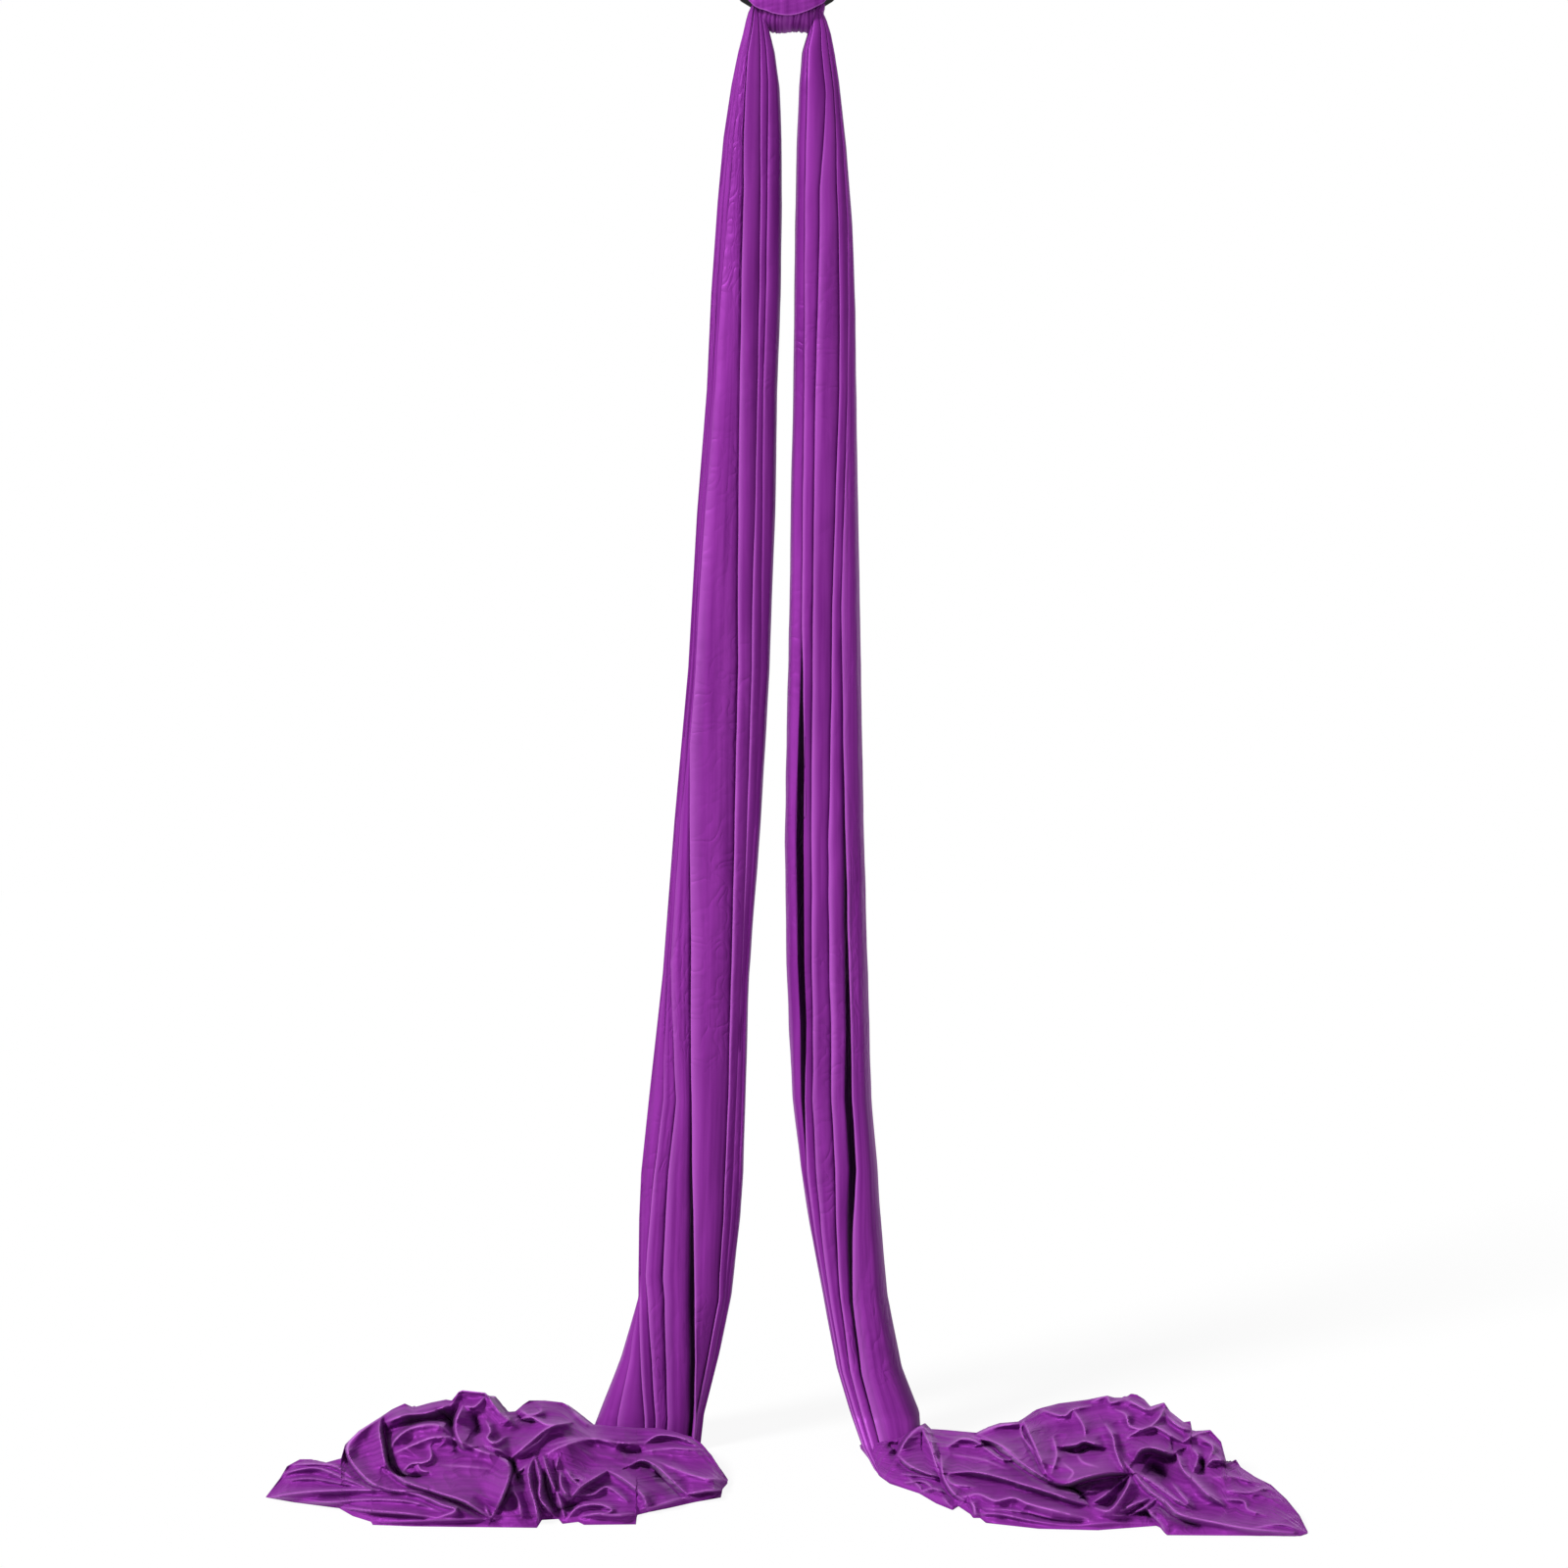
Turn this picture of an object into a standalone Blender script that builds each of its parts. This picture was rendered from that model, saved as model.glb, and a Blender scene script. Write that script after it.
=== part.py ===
"""Aerial silks hung by their middle on a rescue figure eight, a swivel and two locking carabiners.

Metres, +Z up, the front faces -Y. The origin is the middle of the anchor bar that the upper
carabiner hangs on. Going down: upper carabiner, swivel, lower carabiner, figure eight, the knotted
cloth, its two hanging tails and the two piles in which the tails end on the floor.
"""

import math

import bmesh
import bpy
from mathutils import Matrix, Vector

# Clearances and overruns
SEAT_GAP = 0.0003
RUNNING_GAP = 0.0004
CLOTH_GAP = 0.0005
CUT_OVERRUN = 0.004
UNION_OVERLAP = 0.002

# Locking carabiners, an oval of round bar with a straight gate
ANCHOR_BAR_RADIUS = 0.006
CARABINER_LENGTH = 0.112
CARABINER_WIDTH = 0.064
CARABINER_BAR_RADIUS = 0.0055
GATE_RADIUS = 0.0048
GATE_HALF_OPENING = 0.022
TONGUE_THICKNESS = 0.004
TONGUE_HALF_WIDTH = 0.0042
HINGE_DROP = 0.006
NOSE_LENGTH = 0.0085
PIN_RADIUS = 0.0015
SLEEVE_WALL = 0.0024
SLEEVE_LENGTH = 0.022
SLEEVE_CHAMFER = 0.0008
PLUNGER_RADIUS = 0.0013
PLUNGER_LENGTH = 0.010

# Swivel
EYE_HOLE_RADIUS = 0.012
EYE_BAR_RADIUS = 0.0055
HOUSING_RADIUS = 0.019
HOUSING_HEIGHT = 0.026
HOUSING_EDGE = 0.003
CAVITY_RADIUS = 0.0135
CAVITY_HEIGHT = 0.020
SHAFT_RADIUS = 0.006
CAP_FLANGE = 0.003
CAP_PLUG = 0.004
SEAL_HEIGHT = 0.002
SEAL_WIDTH = 0.002
BEARING_BALL_RADIUS = 0.0022
BEARING_BALLS = 8
BEARING_CAGE_HALF_HEIGHT = 0.0009
WASHER_HEIGHT = 0.0022
NUT_RADIUS = 0.0095
NUT_HEIGHT = 0.006
SHAFT_STAND_OUT = 0.0015

# Rescue figure eight
EIGHT_HEIGHT = 0.190
EIGHT_EYE_HOLE_RADIUS = 0.0135
EIGHT_EYE_BAR_RADIUS = 0.0065
EIGHT_RING_BAR_RADIUS = 0.0075
EIGHT_RING_HALF_WIDTH = 0.052
EIGHT_RING_HALF_HEIGHT = 0.045
EIGHT_RING_SQUARENESS = 2.7
EIGHT_NECK_HALF_WIDTH = 0.012
EIGHT_NECK_HALF_DEPTH = 0.0072
EAR_ROOT_OUT = 0.040
EAR_ROOT_UP = 0.022
EAR_TIP_OUT = 0.079
EAR_TIP_UP = 0.045
EAR_TIP_RADIUS = 0.006

# Cloth round the ring
ROLL_LEFT = 0.046
ROLL_RIGHT = 0.045
ROLL_DEPTH_RADIUS = 0.030
ROLL_DROP = 0.023
ROLL_END_SHARE = 0.80
ROLL_BORE_GAP = 0.0013
ROLL_WRINKLE = 0.0011
ROLL_WRINKLES = 7
ROLL_END_DEGREES = 205
FRONT_WRAP_THICKNESS = 0.023
FRONT_WRAP_EDGE = 0.004
FRONT_WRAP_RIPPLE = 0.0011
FRONT_WRAP_BOTTOM_UP = 0.0065
NECK_WRAP_THICKNESS = 0.007
NECK_WRAP_HEIGHT = 0.0105
NECK_WRAP_RIPPLE = 0.0008
NECK_WRAP_RIPPLES = 9

# Tails: outlines and creases are read off the photograph, one pixel being a length at the cloth
SILK_DROP = 2.545
RING_ROW = 20.0
FLOOR_ROW = 1474.3
KNOT_COLUMN = 803.0
PIXEL = SILK_DROP / (FLOOR_ROW - RING_ROW)
TAIL_DEPTH = 0.086
TAIL_FOOT_HEIGHT = 0.030
GROOVE_SHARE = 0.42
BACK_GROOVE_SHARE = 0.30
SECTION_SQUARENESS = 2.6

# Piles
PILE_HEIGHT = 0.125
LEFT_PILE_LOW = (-0.864, -0.443)
LEFT_PILE_SIZE = (0.765, 0.563)
RIGHT_PILE_LOW = (0.100, -0.489)
RIGHT_PILE_SIZE = (0.732, 0.589)
PILE_EDGE_HEIGHT = 0.006

QUARTER_ABOUT_X = Matrix.Rotation(math.pi / 2, 3, "X")
ROUND_STEPS = 32
TUBE_SIDES = 12

# Heights that follow from how the pieces hang in each other
CARABINER_INNER = CARABINER_LENGTH / 2 - 2 * CARABINER_BAR_RADIUS
UPPER_CENTRE_Z = ANCHOR_BAR_RADIUS - CARABINER_INNER
UPPER_EYE_Z = UPPER_CENTRE_Z - CARABINER_INNER + SEAT_GAP - EYE_HOLE_RADIUS
EYE_OUTER = EYE_HOLE_RADIUS + 2 * EYE_BAR_RADIUS
HOUSING_TOP_Z = UPPER_EYE_Z - EYE_HOLE_RADIUS - SEAT_GAP
HOUSING_BOTTOM_Z = HOUSING_TOP_Z - HOUSING_HEIGHT
CAP_TOP_Z = HOUSING_BOTTOM_Z - SEAT_GAP
CAP_BOTTOM_Z = CAP_TOP_Z - CAP_FLANGE
LOWER_EYE_Z = CAP_BOTTOM_Z - RUNNING_GAP - EYE_OUTER
LOWER_PIVOT_Z = LOWER_EYE_Z - EYE_HOLE_RADIUS - EYE_BAR_RADIUS
LOWER_CENTRE_Z = LOWER_EYE_Z - EYE_HOLE_RADIUS + SEAT_GAP - CARABINER_INNER
EIGHT_EYE_Z = LOWER_CENTRE_Z - CARABINER_INNER + SEAT_GAP - EIGHT_EYE_HOLE_RADIUS
EIGHT_PIVOT_Z = EIGHT_EYE_Z + EIGHT_EYE_HOLE_RADIUS + EIGHT_EYE_BAR_RADIUS
EIGHT_BOTTOM_Z = EIGHT_EYE_Z + EIGHT_EYE_HOLE_RADIUS + 2 * EIGHT_EYE_BAR_RADIUS - EIGHT_HEIGHT
EIGHT_RING_Z = EIGHT_BOTTOM_Z + EIGHT_RING_BAR_RADIUS + EIGHT_RING_HALF_HEIGHT
FLOOR_Z = EIGHT_BOTTOM_Z - SILK_DROP


# Materials and mesh helpers

def material(name, colour, roughness, metallic):
    made = bpy.data.materials.new(name)
    made.use_nodes = True
    shader = made.node_tree.nodes["Principled BSDF"]
    shader.inputs["Base Color"].default_value = (*colour, 1.0)
    shader.inputs["Roughness"].default_value = roughness
    shader.inputs["Metallic"].default_value = metallic
    return made


def object_from(name, mesh_builder, finish, smooth_degrees=45, parent=None, place=(0, 0, 0)):
    """The object of a bmesh, with its normals turned out and its round faces smooth."""
    bmesh.ops.recalc_face_normals(mesh_builder, faces=mesh_builder.faces)
    mesh = bpy.data.meshes.new(name)
    mesh_builder.to_mesh(mesh)
    mesh_builder.free()
    mesh.shade_smooth()
    mesh.set_sharp_from_angle(angle=math.radians(smooth_degrees))
    if finish:
        mesh.materials.append(finish)
    made = bpy.data.objects.new(name, mesh)
    bpy.context.scene.collection.objects.link(made)
    made.parent = parent
    made.location = place
    return made


def cutter_from(name, mesh_builder, parent=None, place=(0, 0, 0)):
    made = object_from(name, mesh_builder, None, parent=parent, place=place)
    made.hide_render = True
    made.display_type = "WIRE"
    return made


def pivot(name, z):
    """An empty on a joint's axis, at this height on the hanging line."""
    made = bpy.data.objects.new(name, None)
    bpy.context.scene.collection.objects.link(made)
    made.location = (0, 0, z)
    return made


def hang_from(joint, pieces):
    """Gives pieces modelled in the part's own frame a pivot, and leaves them where they are."""
    for piece in pieces:
        piece.parent = joint
        piece.location = -joint.location


def boolean(target, other, operation):
    modifier = target.modifiers.new(other.name, "BOOLEAN")
    modifier.operation = operation
    modifier.object = other


def lofted(rings, closed=False):
    """A bmesh through rings of points of one count. An open loft gets a cap at each end."""
    builder = bmesh.new()
    rows = [[builder.verts.new(point) for point in ring] for ring in rings]
    pairs = list(zip(rows, rows[1:]))
    if closed:
        pairs.append((rows[-1], rows[0]))
    count = len(rows[0])
    for low, high in pairs:
        for i in range(count):
            j = (i + 1) % count
            builder.faces.new((low[i], low[j], high[j], high[i]))
    if not closed:
        builder.faces.new(rows[0])
        builder.faces.new(rows[-1])
    return builder


def swept(path, radii, normal, sides=TUBE_SIDES, closed=False):
    """A round tube along a flat path whose plane has this normal."""
    normal = Vector(normal)
    path = [Vector(point) for point in path]
    last = len(path) - 1
    rings = []
    for i, point in enumerate(path):
        before = path[i - 1] if i > 0 or closed else point
        after = path[(i + 1) % len(path)] if i < last or closed else point
        side = (after - before).normalized().cross(normal)
        turns = [2 * math.pi * k / sides for k in range(sides)]
        rings.append([point + radii[i] * (math.cos(a) * side + math.sin(a) * normal) for a in turns])
    return lofted(rings, closed)


def turned(profile, steps=ROUND_STEPS):
    """A profile of (radius, height) points turned round Z: solid if it starts on the axis, else a ring."""
    rings = [
        [(radius * math.cos(a), radius * math.sin(a), height)
         for a in [2 * math.pi * k / steps for k in range(steps)]]
        for radius, height in profile if radius > 0
    ]
    return lofted(rings, closed=profile[0][0] > 0)


def washer(inner, outer, low, high):
    return turned([(outer, high), (outer, low), (inner, low), (inner, high)])


def rod(radius, low, high, steps=ROUND_STEPS):
    return turned([(0, high), (radius, high), (radius, low), (0, low)], steps)


def cross_rod(radius, half_length, steps=ROUND_STEPS):
    """A rod along Y through its own origin."""
    builder = rod(radius, -half_length, half_length, steps)
    bmesh.ops.rotate(builder, verts=builder.verts, cent=(0, 0, 0), matrix=QUARTER_ABOUT_X)
    return builder


def block(low, high):
    builder = bmesh.new()
    bmesh.ops.create_cube(builder, size=1)
    size = [b - a for a, b in zip(low, high)]
    centre = [(a + b) / 2 for a, b in zip(low, high)]
    bmesh.ops.scale(builder, vec=size, verts=builder.verts)
    bmesh.ops.translate(builder, vec=centre, verts=builder.verts)
    return builder


def arc(centre, radius, start_degrees, end_degrees, steps):
    """Points in the XZ plane, from X at zero degrees towards Z."""
    turns = [
        math.radians(start_degrees + (end_degrees - start_degrees) * k / steps)
        for k in range(steps + 1)
    ]
    return [(centre[0] + radius * math.cos(a), 0, centre[1] + radius * math.sin(a)) for a in turns]


def between(table, at, column):
    """Straight-line reading of one column of a table whose first column rises."""
    for low, high in zip(table, table[1:]):
        if at <= high[0]:
            share = max(0.0, (at - low[0]) / (high[0] - low[0]))
            return low[column] + (high[column] - low[column]) * share
    return table[-1][column]


# Carabiner

def carabiner(prefix, pivot_z, centre_z, turn_degrees, metal, steel):
    """Body, hinge pin, gate, plunger and screw sleeve. The gate is on the frame's +X side."""
    joint = pivot(prefix + "_pivot", pivot_z)
    joint.rotation_euler = (0, 0, math.radians(turn_degrees))
    frame = pivot(prefix + "_frame", centre_z - pivot_z)
    frame.parent = joint
    gate_x = CARABINER_WIDTH / 2 - CARABINER_BAR_RADIUS
    bend_z = (CARABINER_LENGTH - CARABINER_WIDTH) / 2
    hinge_z = -GATE_HALF_OPENING + HINGE_DROP
    nose_z = GATE_HALF_OPENING
    nose_tip_z = nose_z - NOSE_LENGTH

    path = [(gate_x, 0, -GATE_HALF_OPENING)]
    path += arc((0, -bend_z), gate_x, 0, -180, 12)
    path += arc((0, bend_z), gate_x, 180, 0, 12)
    path.append((gate_x, 0, nose_z))
    body = object_from(
        prefix + "_body", swept(path, [CARABINER_BAR_RADIUS] * len(path), (0, 1, 0)), metal, parent=frame
    )
    tongue = [(gate_x + TONGUE_HALF_WIDTH, 0, -GATE_HALF_OPENING - UNION_OVERLAP)]
    tongue += arc((gate_x, hinge_z), TONGUE_HALF_WIDTH, 0, 180, 10)
    tongue.append((gate_x - TONGUE_HALF_WIDTH, 0, -GATE_HALF_OPENING - UNION_OVERLAP))
    half = Vector((0, TONGUE_THICKNESS / 2, 0))
    sides = [[Vector(point) + offset for point in tongue] for offset in (half, -half)]
    boolean(body, cutter_from(prefix + "_tongue_shape", lofted(sides), frame), "UNION")
    nose = block(
        (gate_x - TONGUE_HALF_WIDTH, -TONGUE_THICKNESS / 2, nose_tip_z),
        (gate_x + TONGUE_HALF_WIDTH, TONGUE_THICKNESS / 2, nose_z + UNION_OVERLAP),
    )
    boolean(body, cutter_from(prefix + "_nose_shape", nose, frame), "UNION")
    hinge = (gate_x, 0, hinge_z)
    bore = cross_rod(PIN_RADIUS + RUNNING_GAP, GATE_RADIUS + CUT_OVERRUN, 16)
    bore_cutter = cutter_from(prefix + "_pin_bore", bore, frame, hinge)
    boolean(body, bore_cutter, "DIFFERENCE")
    object_from(
        prefix + "_hinge_pin", cross_rod(PIN_RADIUS, GATE_RADIUS - SEAT_GAP, 16), steel,
        parent=frame, place=hinge,
    )

    # The gate's heights are measured from its hinge, so that its top clears the nose as it swings.
    reach = nose_z - hinge_z
    gate_top = math.sqrt((reach - RUNNING_GAP) ** 2 - GATE_RADIUS ** 2)
    tip_reach = nose_tip_z - hinge_z
    slot_floor = math.sqrt((tip_reach - RUNNING_GAP) ** 2 - GATE_RADIUS ** 2)
    slot_half = TONGUE_THICKNESS / 2 + RUNNING_GAP
    web_bottom = TONGUE_HALF_WIDTH + RUNNING_GAP
    ball = [(GATE_RADIUS * math.cos(a), GATE_RADIUS * math.sin(a)) for a in
            [math.radians(-90 * k / 5) for k in range(5)]]
    profile = [(0, gate_top), (GATE_RADIUS, gate_top)] + ball + [(0, -GATE_RADIUS)]
    gate = object_from(prefix + "_gate", turned(profile, 20), metal, parent=frame, place=hinge)
    side = GATE_RADIUS + CUT_OVERRUN
    cuts = {
        "_lower_slot": block((-side, -slot_half, -side), (side, slot_half, web_bottom)),
        "_upper_slot": block((-side, -slot_half, slot_floor), (side, slot_half, gate_top + CUT_OVERRUN)),
        "_plunger_bore": rod(PLUNGER_RADIUS + RUNNING_GAP, 0, web_bottom + PLUNGER_LENGTH, 16),
    }
    for name, shape in cuts.items():
        boolean(gate, cutter_from(prefix + name, shape, frame, hinge), "DIFFERENCE")
    boolean(gate, bore_cutter, "DIFFERENCE")
    plunger_low = TONGUE_HALF_WIDTH + SEAT_GAP
    object_from(
        prefix + "_gate_plunger",
        rod(PLUNGER_RADIUS, plunger_low, web_bottom + PLUNGER_LENGTH - SEAT_GAP, 12),
        steel, parent=frame, place=hinge,
    )

    inner = GATE_RADIUS + RUNNING_GAP
    outer = inner + SLEEVE_WALL
    top = math.sqrt((tip_reach - RUNNING_GAP) ** 2 - outer ** 2)
    low = top - SLEEVE_LENGTH
    profile = [
        (outer - SLEEVE_CHAMFER, top), (outer, top - SLEEVE_CHAMFER),
        (outer, low + SLEEVE_CHAMFER), (outer - SLEEVE_CHAMFER, low), (inner, low), (inner, top),
    ]
    object_from(prefix + "_sleeve", turned(profile, 24), steel, parent=frame, place=hinge)


# Swivel

def swivel(housing_metal, shaft_metal, rubber):
    eye_centre = EYE_HOLE_RADIUS + EYE_BAR_RADIUS
    upper_ring = [
        (0, eye_centre * math.cos(a), UPPER_EYE_Z + eye_centre * math.sin(a))
        for a in [2 * math.pi * k / 24 for k in range(24)]
    ]
    profile = [
        (0, HOUSING_TOP_Z), (HOUSING_RADIUS - 2 * HOUSING_EDGE, HOUSING_TOP_Z),
        (HOUSING_RADIUS, HOUSING_TOP_Z - 2 * HOUSING_EDGE), (HOUSING_RADIUS, HOUSING_BOTTOM_Z),
        (0, HOUSING_BOTTOM_Z),
    ]
    upper_eye = object_from("swivel_upper_eye", turned(profile), housing_metal)
    ring = swept(upper_ring, [EYE_BAR_RADIUS] * 24, (1, 0, 0), closed=True)
    boolean(upper_eye, cutter_from("upper_eye_ring", ring), "UNION")
    cavity = rod(CAVITY_RADIUS, HOUSING_BOTTOM_Z - CUT_OVERRUN, HOUSING_BOTTOM_Z + CAVITY_HEIGHT)
    boolean(upper_eye, cutter_from("housing_cavity", cavity), "DIFFERENCE")

    # The cap screws into the housing and carries the bearing. The seal lies in a recess under it.
    cap_bore = SHAFT_RADIUS + 2 * RUNNING_GAP
    plug_top = CAP_TOP_Z + CAP_PLUG
    recess = cap_bore + SEAL_WIDTH
    profile = [
        (cap_bore, plug_top), (CAVITY_RADIUS - SEAT_GAP, plug_top), (CAVITY_RADIUS - SEAT_GAP, CAP_TOP_Z),
        (HOUSING_RADIUS, CAP_TOP_Z), (HOUSING_RADIUS, CAP_BOTTOM_Z), (recess, CAP_BOTTOM_Z),
        (recess, CAP_BOTTOM_Z + SEAL_HEIGHT), (cap_bore, CAP_BOTTOM_Z + SEAL_HEIGHT),
    ]
    object_from("swivel_bottom_cap", turned(profile), housing_metal)
    seal = washer(
        SHAFT_RADIUS + RUNNING_GAP, recess - SEAT_GAP, CAP_BOTTOM_Z, CAP_BOTTOM_Z + SEAL_HEIGHT - SEAT_GAP
    )
    object_from("swivel_shaft_seal", seal, rubber)

    # A caged row of balls runs between the cap and a washer that the shaft's nut holds.
    bearing_z = plug_top + SEAT_GAP + BEARING_BALL_RADIUS
    track = (SHAFT_RADIUS + CAVITY_RADIUS) / 2
    cage = object_from(
        "swivel_bearing_balls",
        washer(
            SHAFT_RADIUS + RUNNING_GAP, CAVITY_RADIUS - RUNNING_GAP,
            bearing_z - BEARING_CAGE_HALF_HEIGHT, bearing_z + BEARING_CAGE_HALF_HEIGHT,
        ),
        shaft_metal,
    )
    for k in range(BEARING_BALLS):
        ball = bmesh.new()
        bmesh.ops.create_uvsphere(ball, u_segments=8, v_segments=6, radius=BEARING_BALL_RADIUS)
        a = 2 * math.pi * k / BEARING_BALLS
        place = (track * math.cos(a), track * math.sin(a), bearing_z)
        boolean(cage, cutter_from(f"bearing_ball_{k}", ball, place=place), "UNION")
    washer_low = bearing_z + BEARING_BALL_RADIUS + SEAT_GAP
    washer_top = washer_low + WASHER_HEIGHT
    object_from(
        "swivel_thrust_washer",
        washer(SHAFT_RADIUS + SEAT_GAP, CAVITY_RADIUS - 2 * RUNNING_GAP, washer_low, washer_top),
        shaft_metal,
    )
    nut_low = washer_top + SEAT_GAP
    nut_top = nut_low + NUT_HEIGHT
    hexagon = [
        [(NUT_RADIUS * math.cos(a), NUT_RADIUS * math.sin(a), z) for a in
         [math.radians(60 * k) for k in range(6)]]
        for z in (nut_low, nut_top)
    ]
    nut = object_from("swivel_shaft_nut", lofted(hexagon), shaft_metal, 20)
    nut_bore = rod(SHAFT_RADIUS + SEAT_GAP, nut_low - CUT_OVERRUN, nut_top + CUT_OVERRUN)
    boolean(nut, cutter_from("nut_bore", nut_bore), "DIFFERENCE")

    shaft = rod(SHAFT_RADIUS, LOWER_EYE_Z + EYE_HOLE_RADIUS + EYE_BAR_RADIUS, nut_top + SHAFT_STAND_OUT)
    lower_eye = object_from("swivel_lower_eye", shaft, shaft_metal)
    lower_ring = [
        (eye_centre * math.cos(a), 0, LOWER_EYE_Z + eye_centre * math.sin(a))
        for a in [2 * math.pi * k / 24 for k in range(24)]
    ]
    ring = swept(lower_ring, [EYE_BAR_RADIUS] * 24, (0, 1, 0), closed=True)
    boolean(lower_eye, cutter_from("lower_eye_ring", ring), "UNION")


# Rescue figure eight

def ring_rise(x):
    """How far the ring's lower bar has risen at this distance from the middle, and its slope."""
    share = min(abs(x) / EIGHT_RING_HALF_WIDTH, 0.98)
    rest = 1 - share ** EIGHT_RING_SQUARENESS
    rise = EIGHT_RING_HALF_HEIGHT * (1 - rest ** (1 / EIGHT_RING_SQUARENESS))
    steepness = EIGHT_RING_HALF_HEIGHT / EIGHT_RING_HALF_WIDTH
    slope = (
        steepness
        * rest ** (1 / EIGHT_RING_SQUARENESS - 1)
        * share ** (EIGHT_RING_SQUARENESS - 1)
    )
    return rise, slope


def figure_eight(metal):
    power = 2 / EIGHT_RING_SQUARENESS
    ring_path = []
    for k in range(40):
        a = 2 * math.pi * (k + 0.5) / 40
        out = math.copysign(abs(math.cos(a)) ** power, math.cos(a))
        up = math.copysign(abs(math.sin(a)) ** power, math.sin(a))
        ring_path.append((EIGHT_RING_HALF_WIDTH * out, 0, EIGHT_RING_Z + EIGHT_RING_HALF_HEIGHT * up))
    ring = swept(ring_path, [EIGHT_RING_BAR_RADIUS] * 40, (0, 1, 0), closed=True)
    eight = object_from("figure_eight", ring, metal)

    eye_centre = EIGHT_EYE_HOLE_RADIUS + EIGHT_EYE_BAR_RADIUS
    eye_path = [
        (eye_centre * math.cos(a), 0, EIGHT_EYE_Z + eye_centre * math.sin(a))
        for a in [2 * math.pi * k / 24 for k in range(24)]
    ]
    eye = swept(eye_path, [EIGHT_EYE_BAR_RADIUS] * 24, (0, 1, 0), closed=True)
    boolean(eight, cutter_from("eight_eye", eye), "UNION")
    neck_rings = []
    neck_low = EIGHT_RING_Z + EIGHT_RING_HALF_HEIGHT
    neck_high = EIGHT_EYE_Z - eye_centre
    for z in (neck_low, neck_high):
        neck_rings.append([
            (EIGHT_NECK_HALF_WIDTH * math.cos(a), EIGHT_NECK_HALF_DEPTH * math.sin(a), z)
            for a in [2 * math.pi * (k + 0.5) / 16 for k in range(16)]
        ])
    boolean(eight, cutter_from("eight_neck", lofted(neck_rings)), "UNION")
    for name, way in (("left", -1), ("right", 1)):
        root = Vector((way * EAR_ROOT_OUT, 0, EIGHT_BOTTOM_Z + EAR_ROOT_UP))
        tip = Vector((way * EAR_TIP_OUT, 0, EIGHT_BOTTOM_Z + EAR_TIP_UP))
        along = (tip - root).normalized()
        cap_shares = (0.0, 0.5, 0.8, 0.97)
        path = [root] + [tip + along * (EAR_TIP_RADIUS * share) for share in cap_shares]
        radii = [EIGHT_RING_BAR_RADIUS] + [
            EAR_TIP_RADIUS * math.sqrt(1 - share * share) for share in cap_shares
        ]
        ear = swept(path, radii, (0, 1, 0))
        boolean(eight, cutter_from(f"eight_ear_{name}", ear), "UNION")
    return eight


# Cloth round the ring

def knot_roll(cloth, tail_cutters):
    """The gathered cloth under the ring: a C-shaped sleeve round its lower bar, open at the top."""
    stations = 27
    outer_steps = 10
    inner_steps = 7
    rings = []
    for k in range(stations):
        share = k / (stations - 1)
        x = -ROLL_LEFT + (ROLL_LEFT + ROLL_RIGHT) * share
        rise, slope = ring_rise(x)
        bar_z = EIGHT_BOTTOM_Z + EIGHT_RING_BAR_RADIUS + rise
        inner_y = EIGHT_RING_BAR_RADIUS + ROLL_BORE_GAP
        inner_z = inner_y * math.sqrt(1 + slope * slope)
        ending = max(0.0, (abs(2 * share - 1) - ROLL_END_SHARE) / (1 - ROLL_END_SHARE))
        fullness = 1 - 0.35 * ending ** 2
        wrinkle = ROLL_WRINKLE * math.cos(2 * math.pi * ROLL_WRINKLES * share + math.sin(9 * share))
        outer_y = ROLL_DEPTH_RADIUS * fullness + wrinkle
        outer_z = (bar_z - EIGHT_BOTTOM_Z + ROLL_DROP - rise * ending) * fullness + wrinkle
        # The roll's front edge stays under the front wrap, also where the bar rises at the sides.
        top_z = EIGHT_BOTTOM_Z + FRONT_WRAP_BOTTOM_UP - 2 * CLOTH_GAP
        ring = []
        for name, count, radius_y, radius_z in (
            ("outer", outer_steps, outer_y, outer_z), ("inner", inner_steps, inner_y, inner_z)
        ):
            start_degrees = math.degrees(math.asin(min(0.97, (bar_z - top_z) / radius_z)))
            turns = [start_degrees + (ROLL_END_DEGREES - start_degrees) * i / count
                     for i in range(count + 1)]
            if name == "inner":
                turns.reverse()
            for degrees in turns:
                a = math.radians(degrees)
                ring.append((x, -radius_y * math.cos(a), bar_z - radius_z * math.sin(a)))
        rings.append(ring)
    roll = object_from("silk_knot_roll", lofted(rings), cloth)
    for cutter in tail_cutters:
        boolean(roll, cutter, "DIFFERENCE")
    return roll


# Each row of the front wrap: height, reach to the left, reach to the right, fullness
FRONT_WRAP_SHARES = [
    (0.00, 0.14, 0.12, 0.30),
    (0.05, 0.42, 0.38, 0.55),
    (0.11, 0.66, 0.62, 0.80),
    (0.18, 0.88, 0.84, 0.94),
    (0.27, 1.00, 0.98, 1.00),
    (0.40, 0.98, 0.97, 1.00),
    (0.56, 0.86, 0.86, 0.94),
    (0.74, 0.66, 0.66, 0.84),
    (0.89, 0.47, 0.47, 0.76),
    (1.00, 0.40, 0.40, 0.70),
]


def neck_wrap_z():
    return (EIGHT_RING_Z + EIGHT_RING_HALF_HEIGHT + EIGHT_RING_BAR_RADIUS + EIGHT_EYE_Z
            - EIGHT_EYE_HOLE_RADIUS - 2 * EIGHT_EYE_BAR_RADIUS) / 2


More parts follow.
